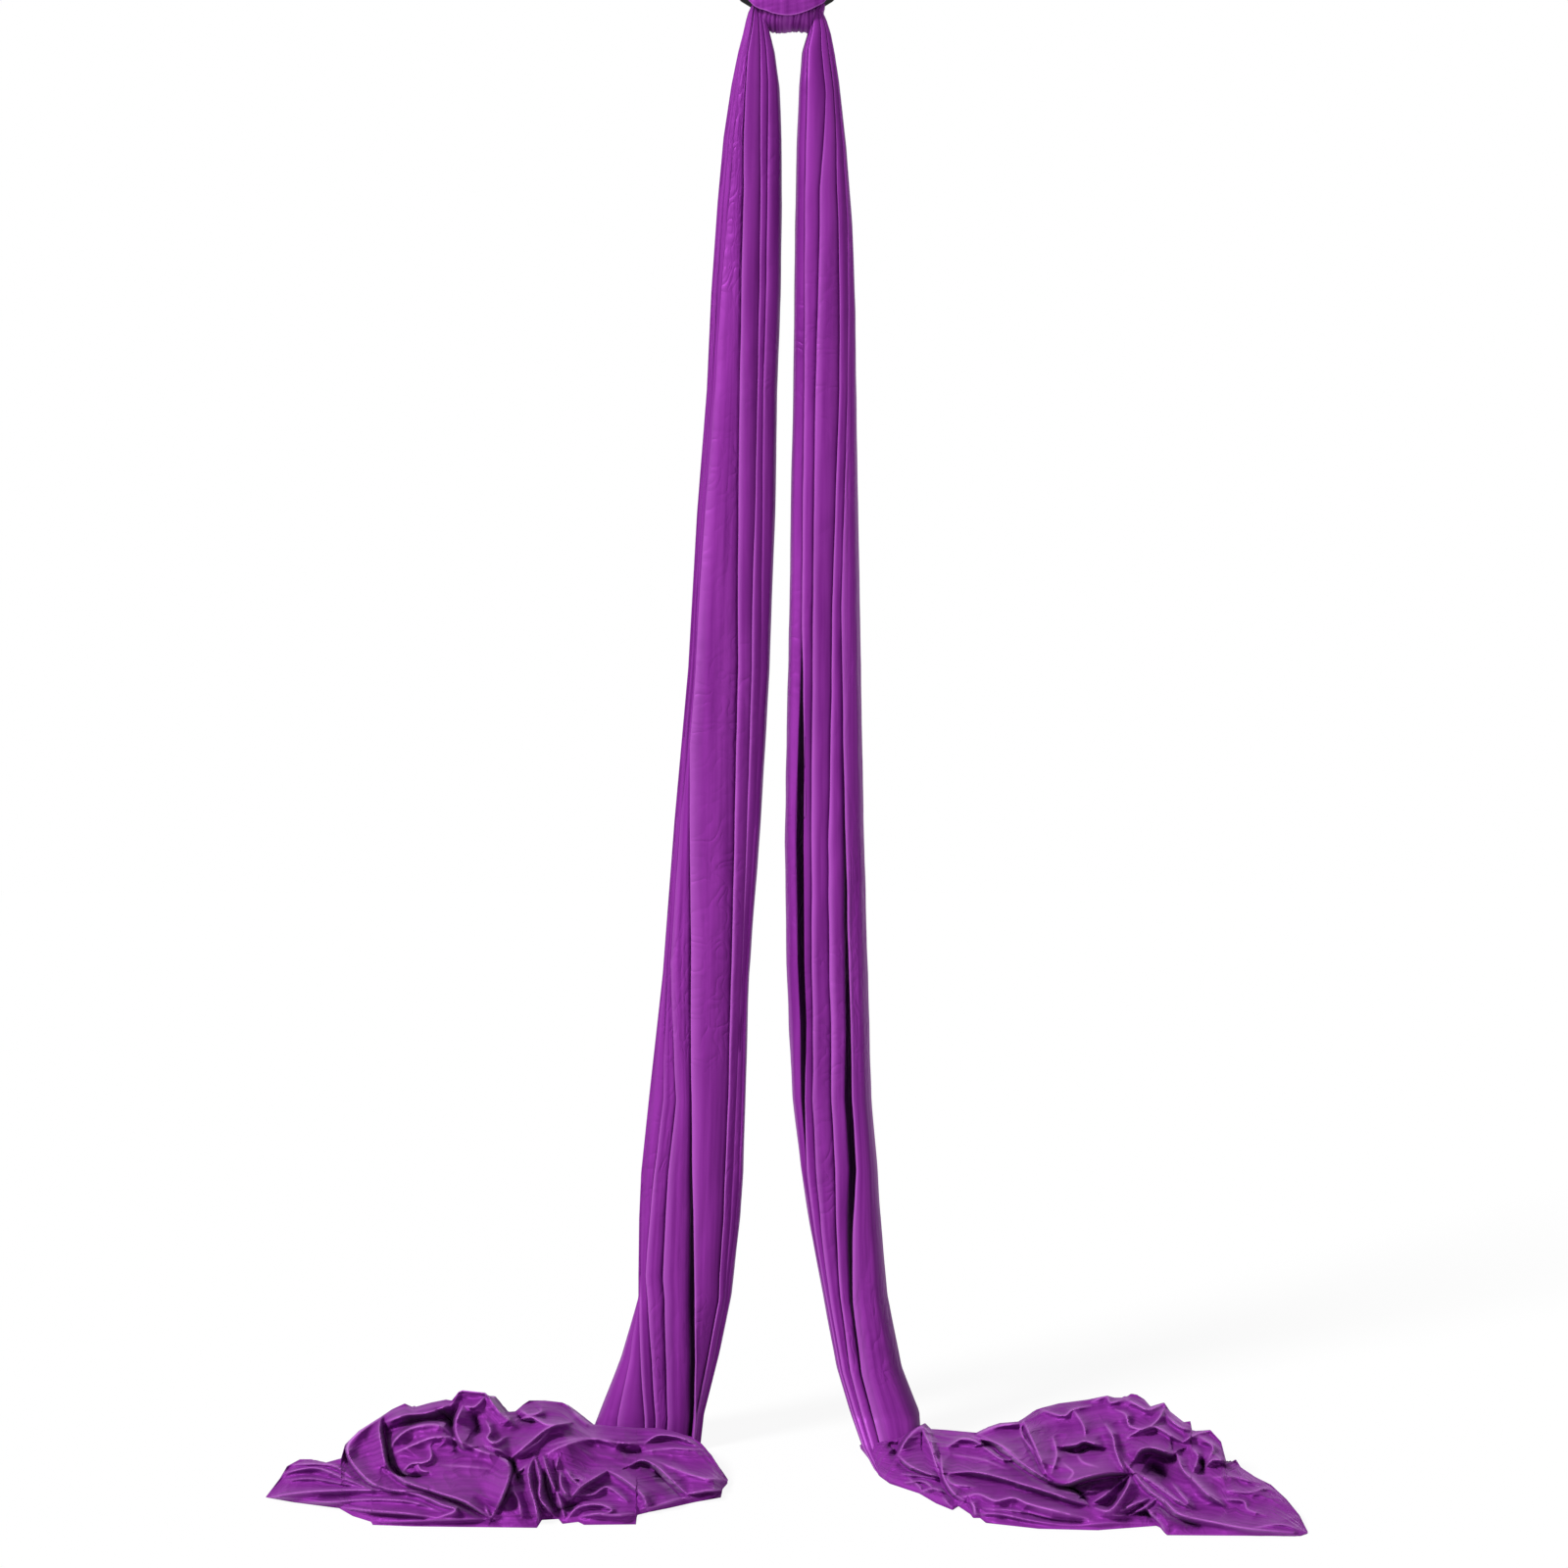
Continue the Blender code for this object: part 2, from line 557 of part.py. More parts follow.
def front_wrap(cloth):
    """The sheet that comes down from the neck in front of the ring and over the top of the roll."""
    low_z = EIGHT_BOTTOM_Z + FRONT_WRAP_BOTTOM_UP
    high_z = neck_wrap_z() - NECK_WRAP_HEIGHT - NECK_WRAP_RIPPLE - CLOTH_GAP
    reach = EIGHT_RING_HALF_WIDTH + EIGHT_RING_BAR_RADIUS + FRONT_WRAP_EDGE
    back_y = -EIGHT_RING_BAR_RADIUS - CLOTH_GAP
    columns = 14
    rings = []
    for height, left, right, fullness in FRONT_WRAP_SHARES:
        z = low_z + (high_z - low_z) * height
        front, back = [], []
        for i in range(columns + 1):
            share = 2 * i / columns - 1
            x = reach * (left if share < 0 else right) * share
            bulge = math.sqrt(1 - 0.96 * share * share) * fullness
            ripple = FRONT_WRAP_RIPPLE * math.cos(5 * math.pi * share + 4 * height)
            front.append((x, back_y - FRONT_WRAP_EDGE - FRONT_WRAP_THICKNESS * bulge - ripple, z))
            back.append((x, back_y, z))
        rings.append(front + back[::-1])
    return object_from("silk_front_wrap", lofted(rings), cloth)


def neck_wrap(cloth):
    """The band of gathered cloth that goes right round the neck of the figure eight."""
    rings = []
    out_x = EIGHT_NECK_HALF_WIDTH + CLOTH_GAP + NECK_WRAP_THICKNESS + NECK_WRAP_RIPPLE
    out_y = EIGHT_NECK_HALF_DEPTH + CLOTH_GAP + NECK_WRAP_THICKNESS + NECK_WRAP_RIPPLE
    for k in range(28):
        a = 2 * math.pi * k / 28
        ripple = NECK_WRAP_RIPPLE * math.cos(NECK_WRAP_RIPPLES * a)
        ring = []
        for i in range(10):
            b = 2 * math.pi * i / 10
            reach = (NECK_WRAP_THICKNESS + ripple) * math.cos(b)
            z = neck_wrap_z() + (NECK_WRAP_HEIGHT + ripple) * math.sin(b)
            ring.append(((out_x + reach) * math.cos(a), (out_y + reach) * math.sin(a), z))
        rings.append(ring)
    return object_from("silk_neck_wrap", lofted(rings, closed=True), cloth)


# Hanging tails

# Photograph rows and the columns of a tail's left and right edges
LEFT_TAIL_EDGES = [
    (12, 763.0, 776.0), (22, 761.5, 781.0), (36, 758.5, 786.0), (56, 753.5, 792.0),
    (89, 747.0, 796.0), (143, 739.0, 798.0), (209, 733.0, 798.5), (301, 726.5, 797.0),
    (400, 722.0, 793.0), (525, 712.0, 791.0), (682, 703.0, 785.5), (837, 689.0, 776.0),
    (994, 677.0, 765.0), (1119, 663.0, 761.0), (1229, 653.5, 756.0), (1321, 653.0, 746.0),
    (1383, 634.0, 731.0), (1420, 625.0, 722.0), (1458, 610.0, 716.0),
]
RIGHT_TAIL_EDGES = [
    (12, 831.0, 842.0), (22, 828.0, 845.0), (36, 824.5, 848.0), (56, 818.0, 852.0),
    (89, 815.0, 857.0), (153, 812.5, 864.0), (230, 811.0, 870.0), (319, 810.0, 873.0),
    (400, 809.0, 874.0), (525, 806.5, 876.0), (682, 804.5, 879.0), (861, 801.0, 882.0),
    (982, 802.0, 885.0), (1054, 805.0, 887.0), (1119, 808.0, 889.0), (1190, 816.0, 895.0),
    (1252, 826.0, 899.0), (1321, 840.0, 905.0), (1394, 855.0, 918.0), (1458, 872.0, 946.0),
]
# Photograph rows and, as shares of the width there, the creases from left to right
LEFT_CREASE_SHARES = [
    (12, (0.06, 0.14, 0.22, 0.36, 0.62, 0.78)), (60, (0.05, 0.12, 0.19, 0.28, 0.60, 0.77)),
    (200, (0.04, 0.10, 0.18, 0.40, 0.67, 0.78)), (400, (0.03, 0.07, 0.13, 0.49, 0.73, 0.82)),
    (622, (0.03, 0.06, 0.10, 0.59, 0.77, 0.88)), (760, (0.04, 0.08, 0.13, 0.67, 0.83, 0.92)),
    (982, (0.05, 0.18, 0.33, 0.80, 0.91, 0.96)), (1195, (0.14, 0.28, 0.50, 0.83, 0.91, 0.96)),
    (1321, (0.11, 0.28, 0.59, 0.88, 0.94, 0.97)), (1458, (0.18, 0.46, 0.76, 0.90, 0.95, 0.98)),
]
RIGHT_CREASE_SHARES = [
    (12, (0.20, 0.55, 0.78, 0.92)), (100, (0.21, 0.65, 0.83, 0.94)), (200, (0.18, 0.46, 0.75, 0.92)),
    (400, (0.19, 0.37, 0.73, 0.86)), (622, (0.19, 0.34, 0.61, 0.74)), (861, (0.19, 0.35, 0.56, 0.75)),
    (1042, (0.19, 0.31, 0.55, 0.73)), (1190, (0.10, 0.22, 0.46, 0.68)),
    (1321, (0.05, 0.12, 0.27, 0.44)), (1458, (0.04, 0.09, 0.18, 0.32)),
]
BACK_CREASE_SHARES = (0.22, 0.41, 0.60, 0.80)
# Photograph rows and the tail's thickness there, front to back
TAIL_DEPTH_SHARES = [(12, 0.34), (36, 0.50), (89, 0.78), (209, 1.0), (1321, 1.0), (1458, 1.1)]


def photo_x(column):
    return (column - KNOT_COLUMN) * PIXEL


def photo_z(row):
    return EIGHT_BOTTOM_Z + (RING_ROW - row) * PIXEL


def creases_at(table, row):
    """The crease shares at a row of the photograph."""
    count = len(table[0][1])
    flat = [(at,) + shares for at, shares in table]
    return [between(flat, row, k + 1) for k in range(count)]


def fold_side(creases, groove):
    """Points across one side of a tail: (share of the width, share of the half thickness)."""
    points = []
    marks = [0.0] + list(creases) + [1.0]
    for low, high in zip(marks, marks[1:]):
        if low > 0.0:
            points.append((low, (1 - groove) * rounding(low)))
        for share in (0.25, 0.75):
            at = low + (high - low) * share
            points.append((at, rounding(at)))
    return points


def rounding(share):
    return (1 - abs(2 * share - 1) ** SECTION_SQUARENESS) ** (1 / SECTION_SQUARENESS)


def tail_rings(edges, crease_table, grow=0.0):
    """The tail's sections from top to bottom, each grown outwards by the given clearance."""
    rings = []
    for row, left, right in edges:
        if row == edges[-1][0]:
            z = FLOOR_Z + TAIL_FOOT_HEIGHT - grow
        else:
            z = photo_z(row)
        low, high = photo_x(left) - grow, photo_x(right) + grow
        half = TAIL_DEPTH * between(TAIL_DEPTH_SHARES, row, 1) / 2 + grow
        front = fold_side(creases_at(crease_table, row), GROOVE_SHARE if not grow else 0.0)
        back = fold_side(BACK_CREASE_SHARES, BACK_GROOVE_SHARE if not grow else 0.0)
        ring = [(low, 0.0, z)]
        ring += [(low + (high - low) * at, -half * out, z) for at, out in front]
        ring.append((high, 0.0, z))
        ring += [(low + (high - low) * at, half * out, z) for at, out in reversed(back)]
        rings.append(ring)
    return rings


# Floor piles

# The piles' edges on the floor, as shares of each pile's own length and depth
LEFT_PILE_EDGE_SHARES = [
    (0.00, 0.27), (0.17, 0.17), (0.26, 0.03), (0.44, 0.01), (0.61, 0.00), (0.81, 0.03),
    (0.84, 0.14), (0.93, 0.22), (1.00, 0.40), (0.96, 0.60), (0.94, 0.78), (0.86, 0.93),
    (0.67, 1.00), (0.42, 0.98), (0.21, 0.86), (0.12, 0.65), (0.01, 0.45),
]
RIGHT_PILE_EDGE_SHARES = [
    (0.00, 0.80), (0.03, 0.66), (0.09, 0.50), (0.13, 0.43), (0.23, 0.23), (0.30, 0.12),
    (0.54, 0.06), (0.66, 0.08), (0.68, 0.01), (0.96, 0.00), (0.99, 0.04), (1.00, 0.25),
    (0.95, 0.52), (0.87, 0.73), (0.76, 0.88), (0.61, 0.98), (0.41, 1.00), (0.20, 0.98), (0.05, 0.93),
]
# Folds: the middle line's points, then the fold's height and half width, all as shares
LEFT_PILE_FOLD_SHARES = [
    ([(0.45, 0.75), (0.27, 0.66), (0.23, 0.45), (0.33, 0.24), (0.52, 0.16)], 0.62, 0.085),
    ([(0.41, 0.72), (0.46, 0.60)], 1.00, 0.080),
    ([(0.30, 0.36), (0.46, 0.44), (0.52, 0.34)], 0.70, 0.075),
    ([(0.24, 0.46), (0.03, 0.33)], 0.26, 0.070),
    ([(0.24, 0.34), (0.08, 0.28)], 0.20, 0.060),
    ([(0.56, 0.80), (0.60, 0.68), (0.56, 0.56)], 0.86, 0.085),
    ([(0.60, 0.50), (0.78, 0.50), (0.93, 0.42)], 0.42, 0.080),
    ([(0.58, 0.36), (0.74, 0.30), (0.88, 0.30)], 0.36, 0.070),
    ([(0.36, 0.10), (0.56, 0.09), (0.76, 0.12)], 0.34, 0.070),
    ([(0.60, 0.88), (0.80, 0.84)], 0.55, 0.080),
]
RIGHT_PILE_FOLD_SHARES = [
    ([(0.14, 0.50), (0.30, 0.30), (0.56, 0.18)], 0.34, 0.070),
    ([(0.22, 0.60), (0.40, 0.42), (0.60, 0.36)], 0.50, 0.070),
    ([(0.44, 0.84), (0.54, 0.70), (0.50, 0.54)], 0.92, 0.085),
    ([(0.60, 0.82), (0.70, 0.64), (0.66, 0.46)], 1.00, 0.085),
    ([(0.78, 0.74), (0.80, 0.56)], 0.74, 0.070),
    ([(0.88, 0.58), (0.84, 0.40)], 0.46, 0.060),
    ([(0.22, 0.86), (0.44, 0.90)], 0.52, 0.075),
    ([(0.70, 0.26), (0.94, 0.10)], 0.16, 0.080),
    ([(0.66, 0.12), (0.80, 0.24), (0.95, 0.26)], 0.20, 0.070),
]
PILE_CENTRE_SHARE = (0.53, 0.48)
PILE_BASE_SHARE = 0.30


def distance_to_line(point, line):
    """The least distance from a point to a line of straight stretches."""
    best = None
    for start, end in zip(line, line[1:]):
        along = Vector(end) - Vector(start)
        share = (Vector(point) - Vector(start)).dot(along) / along.length_squared
        nearest = Vector(start) + along * min(1.0, max(0.0, share))
        gap = (Vector(point) - nearest).length
        best = gap if best is None else min(best, gap)
    return best


def edge_radius(edge, centre, angle):
    """How far the closed edge lies from the centre in one direction."""
    way = Vector((math.cos(angle), math.sin(angle)))
    side = Vector((-way.y, way.x))
    best = 0.0
    for start, end in zip(edge, edge[1:] + edge[:1]):
        a, b = Vector(start) - centre, Vector(end) - centre
        if (a.dot(side) > 0) == (b.dot(side) > 0):
            continue
        share = a.dot(side) / (a.dot(side) - b.dot(side))
        best = max(best, (a + (b - a) * share).dot(way))
    return best


def pile(name, low, size, edge_shares, fold_shares, tail_room, cloth):
    """A mound of cloth on the floor, with its main folds and the hollow in which its tail's foot sits."""
    edge = [(low[0] + size[0] * u, low[1] + size[1] * v) for u, v in edge_shares]
    centre = Vector((low[0] + size[0] * PILE_CENTRE_SHARE[0], low[1] + size[1] * PILE_CENTRE_SHARE[1]))
    reach = (size[0] + size[1]) / 2
    folds = []
    for line, height, width in fold_shares:
        points = [(low[0] + size[0] * u, low[1] + size[1] * v) for u, v in line]
        folds.append((points, PILE_HEIGHT * height, reach * width))

    def height_at(x, y, share):
        top = PILE_EDGE_HEIGHT + PILE_HEIGHT * PILE_BASE_SHARE * math.sqrt(1 - share ** 4)
        for line, fold_height, half_width in folds:
            across = distance_to_line((x, y), line) / half_width
            if across < 1:
                shape = math.cos(across * math.pi / 2) ** 0.8
                falling = (1 - share ** 6) ** 0.5
                top = max(top, PILE_EDGE_HEIGHT + fold_height * shape * falling)
        return top

    spokes, circles = 60, 13
    builder = bmesh.new()
    rows = []
    for j in range(1, circles + 1):
        share = j / circles
        row = []
        for k in range(spokes):
            a = 2 * math.pi * k / spokes
            out = edge_radius(edge, centre, a) * share
            x, y = centre.x + out * math.cos(a), centre.y + out * math.sin(a)
            row.append(builder.verts.new((x, y, FLOOR_Z + height_at(x, y, share))))
        rows.append(row)
    base = [builder.verts.new((vert.co.x, vert.co.y, FLOOR_Z)) for vert in rows[-1]]
    rows.append(base)
    top = builder.verts.new((centre.x, centre.y, FLOOR_Z + height_at(centre.x, centre.y, 0.0)))
    for k in range(spokes):
        after = (k + 1) % spokes
        builder.faces.new((top, rows[0][k], rows[0][after]))
        for inner, outer in zip(rows, rows[1:]):
            builder.faces.new((inner[k], outer[k], outer[after], inner[after]))
    builder.faces.new(base)
    mound = object_from(name, builder, cloth, 70)
    boolean(mound, tail_room, "DIFFERENCE")
    return mound


def main():
    for leftover in list(bpy.data.objects):
        bpy.data.objects.remove(leftover, do_unlink=True)
    black = material("black_anodised", (0.012, 0.012, 0.014), 0.32, 0.85)
    steel = material("steel", (0.62, 0.62, 0.64), 0.28, 1.0)
    rubber = material("seal_rubber", (0.02, 0.02, 0.02), 0.7, 0.0)
    silk = material("purple_tricot", (0.25, 0.035, 0.32), 0.48, 0.0)

    carabiner("upper_carabiner", 0, UPPER_CENTRE_Z, 0, black, steel)
    swivel(black, steel, rubber)
    carabiner("lower_carabiner", LOWER_PIVOT_Z, LOWER_CENTRE_Z, 90, black, steel)
    hung = [figure_eight(black)]

    cutters = []
    for side, edges, creases in (
        ("left", LEFT_TAIL_EDGES, LEFT_CREASE_SHARES), ("right", RIGHT_TAIL_EDGES, RIGHT_CREASE_SHARES)
    ):
        rings = tail_rings(edges, creases)
        hung.append(object_from(f"silk_{side}_tail", lofted(rings), silk, 60))
        grown = lofted(tail_rings(edges, creases, CLOTH_GAP))
        cutters.append(cutter_from(f"{side}_tail_room", grown))
        low, size, shares, folds = {
            "left": (LEFT_PILE_LOW, LEFT_PILE_SIZE, LEFT_PILE_EDGE_SHARES, LEFT_PILE_FOLD_SHARES),
            "right": (RIGHT_PILE_LOW, RIGHT_PILE_SIZE, RIGHT_PILE_EDGE_SHARES, RIGHT_PILE_FOLD_SHARES),
        }[side]
        hung.append(pile(f"silk_{side}_pile", low, size, shares, folds, cutters[-1], silk))
    hung += [knot_roll(silk, cutters), front_wrap(silk), neck_wrap(silk)]
    hang_from(pivot("silks_pivot", EIGHT_PIVOT_Z), hung)


main()
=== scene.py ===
import math

import bpy
import numpy as np
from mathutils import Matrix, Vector, noise


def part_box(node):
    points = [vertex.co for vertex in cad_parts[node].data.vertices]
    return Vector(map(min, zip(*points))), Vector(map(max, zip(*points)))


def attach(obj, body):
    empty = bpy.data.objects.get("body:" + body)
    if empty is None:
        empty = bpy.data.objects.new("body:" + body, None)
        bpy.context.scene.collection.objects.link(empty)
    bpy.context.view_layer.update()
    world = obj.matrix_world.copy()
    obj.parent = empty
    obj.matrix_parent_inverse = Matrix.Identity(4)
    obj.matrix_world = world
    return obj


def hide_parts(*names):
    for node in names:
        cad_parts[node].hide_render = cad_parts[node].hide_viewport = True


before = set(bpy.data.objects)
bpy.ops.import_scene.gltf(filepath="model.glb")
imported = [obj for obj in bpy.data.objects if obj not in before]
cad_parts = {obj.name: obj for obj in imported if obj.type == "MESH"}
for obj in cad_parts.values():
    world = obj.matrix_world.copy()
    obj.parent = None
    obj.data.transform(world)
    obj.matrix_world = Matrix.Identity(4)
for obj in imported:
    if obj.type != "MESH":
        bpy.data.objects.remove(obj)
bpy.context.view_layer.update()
scene = bpy.context.scene


def add_object(name, data):
    made = bpy.data.objects.new(name, data)
    scene.collection.objects.link(made)
    return made


# Photograph and camera

PICTURE_MIDDLE = 800.0
CAMERA_PLACE = (-0.00525, -4.0, -1.8041)
CAMERA_LENS_MM = 51.43
SENSOR_MM = 36.0

camera_data = bpy.data.cameras.new("photo_camera")
camera_data.lens = CAMERA_LENS_MM
camera_data.sensor_width = SENSOR_MM
camera = add_object("photo_camera", camera_data)
camera.location = CAMERA_PLACE
camera.rotation_euler = (math.pi / 2, 0, 0)
scene.camera = camera

# Sizes in metres. The photograph's rows and columns are turned into metres in the tails' plane.

FLOOR_Z = min(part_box("silk_left_pile")[0][2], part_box("silk_right_pile")[0][2])
RING_BOTTOM_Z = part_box("figure_eight")[0][2]
RING_ROW = 20.0
FLOOR_ROW = 1474.3
KNOT_COLUMN = 803.0
PIXEL = (RING_BOTTOM_Z - FLOOR_Z) / (FLOOR_ROW - RING_ROW)
CAMERA_BACK = -CAMERA_PLACE[1]

TAIL_DEPTH = 0.086
TUCK_SHARE = 0.82
TUCK_LEAN = 0.006
PANEL_LAP = 0.0022
PANEL_LIFT = 0.012
PANEL_LIFT_SHARE = 0.38
# Painted shading across each panel, and the share of the painted light that the creases at the back get
PANEL_PAINTED_SHADING = 0.40
BACK_PAINTED_LIGHT_SHARE = 0.2
BACK_TUCK = 0.85
BACK_SEAM = (0.5, 0.49)
TAIL_ROW_STEP = 0.008
FOOT_START = 0.25
COLUMN_REFINE = 2
PATH_PLACES = 400
PATH_FINENESS = 4000


def photo_x(column):
    return (column - KNOT_COLUMN) * PIXEL


def photo_z(row):
    return RING_BOTTOM_Z + (RING_ROW - row) * PIXEL


def photo_row(z):
    return RING_ROW + (RING_BOTTOM_Z - z) / PIXEL


# Materials

def set_values(node, values):
    """Sets a node's inputs, or else its properties, by names with underscores for spaces."""
    for name, value in values.items():
        if name.replace("_", " ") in node.inputs.keys():
            node.inputs[name.replace("_", " ")].default_value = value
        else:
            setattr(node, name, value)


def join(tree, node, links):
    """Links a node's inputs, by name or number, to other nodes' outputs."""
    for socket, output in links.items():
        tree.links.new(output, node.inputs[socket])


def add_node(tree, kind, links=None, **values):
    made = tree.nodes.new(kind)
    set_values(made, values)
    join(tree, made, links or {})
    return made


def new_material(name, **values):
    material = bpy.data.materials.new(name)
    material.use_nodes = True
    shader = material.node_tree.nodes["Principled BSDF"]
    set_values(shader, values)
    return material, material.node_tree, shader


def ramp_between(tree, factor, low, high, start=0.3, end=0.7):
    ramp = add_node(tree, "ShaderNodeValToRGB", {"Fac": factor})
    for stop, place, colour in zip(ramp.color_ramp.elements, (start, end), (low, high)):
        stop.position = place
        stop.color = (*colour, 1)
    return ramp.outputs["Color"]


def noise_at(tree, place, stretch=None, turn=0.0, **values):
    """A noise at these places, which can be stretched and turned first."""
    if stretch:
        mapping = add_node(tree, "ShaderNodeMapping", {"Vector": place}, Scale=(*stretch, 1.0),
                           Rotation=(0.0, 0.0, turn))
        place = mapping.outputs["Vector"]
    return add_node(tree, "ShaderNodeTexNoise", {"Vector": place}, **values).outputs["Fac"]


STREAK_SHADES = ((0.146, 0.014, 0.184), (0.214, 0.026, 0.262))
STREAK_STOPS = (0.36, 0.62)
# Colours and strengths of the painted highlight on fold crests and of the painted shade in creases
PAINTED_HIGHLIGHT_COLOUR = (0.46, 0.13, 0.53)
PAINTED_HIGHLIGHT_SHARE = 0.75
PAINTED_CREASE_SHADE_COLOUR = (0.022, 0.001, 0.030)
PAINTED_CREASE_SHADE_SHARE = 0.80
# The colour sockets of a mix node
MIX_FIRST = 6
MIX_SECOND = 7
MIX_RESULT = 2


def silk_material():
    """Purple nylon tricot: satin, with faint streaks along the cloth and fine creases, with painted
    highlights along the crests of folds and painted shade in the creases."""
    material, tree, shader = new_material(
        "silk_tricot", Roughness=0.45, Metallic=0.12, Specular_IOR_Level=0.06, Sheen_Weight=0.24,
        Sheen_Roughness=0.30, Specular_Tint=(0.80, 0.40, 0.90, 1), Sheen_Tint=(0.80, 0.36, 0.92, 1),
    )
    place = add_node(tree, "ShaderNodeUVMap", uv_map="cloth").outputs["UV"]
    streaks = noise_at(tree, place, (90.0, 2.2), Scale=1.0, Detail=3.0, Roughness=0.55)
    creases = noise_at(tree, place, (1.6, 0.5), 0.12, noise_type="RIDGED_MULTIFRACTAL", Scale=7.0,
                       Detail=2.5, Roughness=0.5, Lacunarity=2.3, Offset=1.0, Gain=1.2, Distortion=0.5)
    wrinkles = noise_at(tree, place, (46.0, 24.0), 0.7, noise_type="RIDGED_MULTIFRACTAL", Scale=1.0,
                        Detail=1.5, Roughness=0.5, Lacunarity=2.0, Offset=0.9, Gain=1.0, Distortion=1.2)
    patches = noise_at(tree, place, Scale=2.6, Detail=1.0)
    colour = ramp_between(tree, streaks, *STREAK_SHADES, *STREAK_STOPS)
    crest = add_node(tree, "ShaderNodeAttribute", attribute_name="crest").outputs["Fac"]
    # Painted highlight where the crest number is above 0, painted shade where it is below 0
    for sign, shade, share in ((1, PAINTED_HIGHLIGHT_COLOUR, PAINTED_HIGHLIGHT_SHARE), (-1, PAINTED_CREASE_SHADE_COLOUR, PAINTED_CREASE_SHADE_SHARE)):
        amount = add_node(tree, "ShaderNodeMapRange", {"Value": crest}, From_Max=sign, To_Max=share)
        mixed = add_node(tree, "ShaderNodeMix", data_type="RGBA")
        join(tree, mixed, {"Factor": amount.outputs["Result"], MIX_FIRST: colour})
        mixed.inputs[MIX_SECOND].default_value = (*shade, 1)
        colour = mixed.outputs[MIX_RESULT]
    patch_share = add_node(tree, "ShaderNodeMapRange", {"Value": patches}, From_Min=0.48, From_Max=0.60,
                           To_Max=0.9)
    small = add_node(tree, "ShaderNodeBump", {"Strength": patch_share.outputs["Result"], "Height": wrinkles},
                     Distance=0.0011)
    fine = add_node(tree, "ShaderNodeBump", {"Normal": small.outputs["Normal"], "Height": streaks},
                    Strength=0.40, Distance=0.0020)
    broad = add_node(tree, "ShaderNodeBump", {"Normal": fine.outputs["Normal"], "Height": creases},
                     Strength=0.42, Distance=0.003)
    join(tree, shader, {"Base Color": colour, "Normal": broad.outputs["Normal"]})
    return material


def metal_material(name, colour, roughness, scratch=0.08, metallic=1.0):
    material, tree, shader = new_material(name, Metallic=metallic)
    place = add_node(tree, "ShaderNodeTexCoord").outputs["Object"]
    wear = noise_at(tree, place, Scale=160.0, Detail=4.0)
    shade = ramp_between(tree, wear, colour, tuple(min(1.0, c * 1.25) for c in colour))
    rough = add_node(tree, "ShaderNodeMapRange", {"Value": wear}, To_Min=roughness - scratch,
                     To_Max=roughness + scratch)
    join(tree, shader, {"Base Color": shade, "Roughness": rough.outputs["Result"]})
    return material


silk = silk_material()
black_anodised = metal_material("black_anodised", (0.010, 0.010, 0.011), 0.36, 0.05, 0.7)
dark_housing = metal_material("dark_housing", (0.030, 0.031, 0.034), 0.34, 0.05, 0.8)
steel = metal_material("steel", (0.52, 0.53, 0.55), 0.28)
sleeve_metal = metal_material("sleeve_metal", (0.24, 0.25, 0.27), 0.33)
rubber = metal_material("rubber", (0.012, 0.012, 0.012), 0.7, 0.05, 0.0)

NODE_MATERIALS = {
    "figure_eight": black_anodised, "swivel_upper_eye": dark_housing, "swivel_bottom_cap": dark_housing,
    "swivel_lower_eye": steel, "swivel_shaft_nut": steel, "swivel_thrust_washer": steel,
    "swivel_bearing_balls": steel, "swivel_shaft_seal": rubber,
}
CARABINER_MATERIALS = {
    "body": black_anodised, "gate": black_anodised, "gate_plunger": steel, "hinge_pin": steel,
    "sleeve": sleeve_metal,
}
for prefix in ("upper_carabiner", "lower_carabiner"):
    for ending, node_material in CARABINER_MATERIALS.items():
        NODE_MATERIALS[f"{prefix}_{ending}"] = node_material
for node_name, node_material in NODE_MATERIALS.items():
    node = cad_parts[node_name]
    node.data.materials.clear()
    node.data.materials.append(node_material)


# The hardware with forged, rounded edges instead of the exact edges of the CAD solids

FORGED = {
    "upper_carabiner_body": 0.0006, "lower_carabiner_body": 0.0006, "upper_carabiner_gate": 0.0005,
    "lower_carabiner_gate": 0.0005, "swivel_upper_eye": 0.0006, "swivel_lower_eye": 0.0005,
}
EAR_DROP = 0.0078
EAR_FROM = 0.044
EAR_TO = 0.054
EAR_BELOW_Z = -0.37
FORGED_ROUNDS = 8
EIGHT_GRAIN = 0.0008
EIGHT_ROUNDS = 10


def forge(thing, grain, rounds):
    """Rounds a thing's edges: a mesh of this grain, smoothed this many times."""
    remesh = thing.modifiers.new("grain", "REMESH")
    remesh.mode = "VOXEL"
    remesh.voxel_size = grain
    remesh.use_smooth_shade = True
    rounded = thing.modifiers.new("rounded", "SMOOTH")
    rounded.factor = 0.5
    rounded.iterations = rounds


def make_figure_eight():
    """The CAD figure eight with its ears as low as in the photograph."""
    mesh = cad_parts["figure_eight"].data.copy()
    mesh.name = "figure_eight_forged"
    for vertex in mesh.vertices:
        if vertex.co.z < EAR_BELOW_Z:
            share = min(1.0, max(0.0, (abs(vertex.co.x) - EAR_FROM) / (EAR_TO - EAR_FROM)))
            vertex.co.z -= EAR_DROP * share * share * (3 - 2 * share)
    made = add_object("figure_eight_forged", mesh)
    forge(made, EIGHT_GRAIN, EIGHT_ROUNDS)
    return made


for node_name, grain in FORGED.items():
    forge(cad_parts[node_name], grain, FORGED_ROUNDS)
figure_eight = make_figure_eight()
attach(figure_eight, "silks")
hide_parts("figure_eight")


# Cloth sheets as grids of points

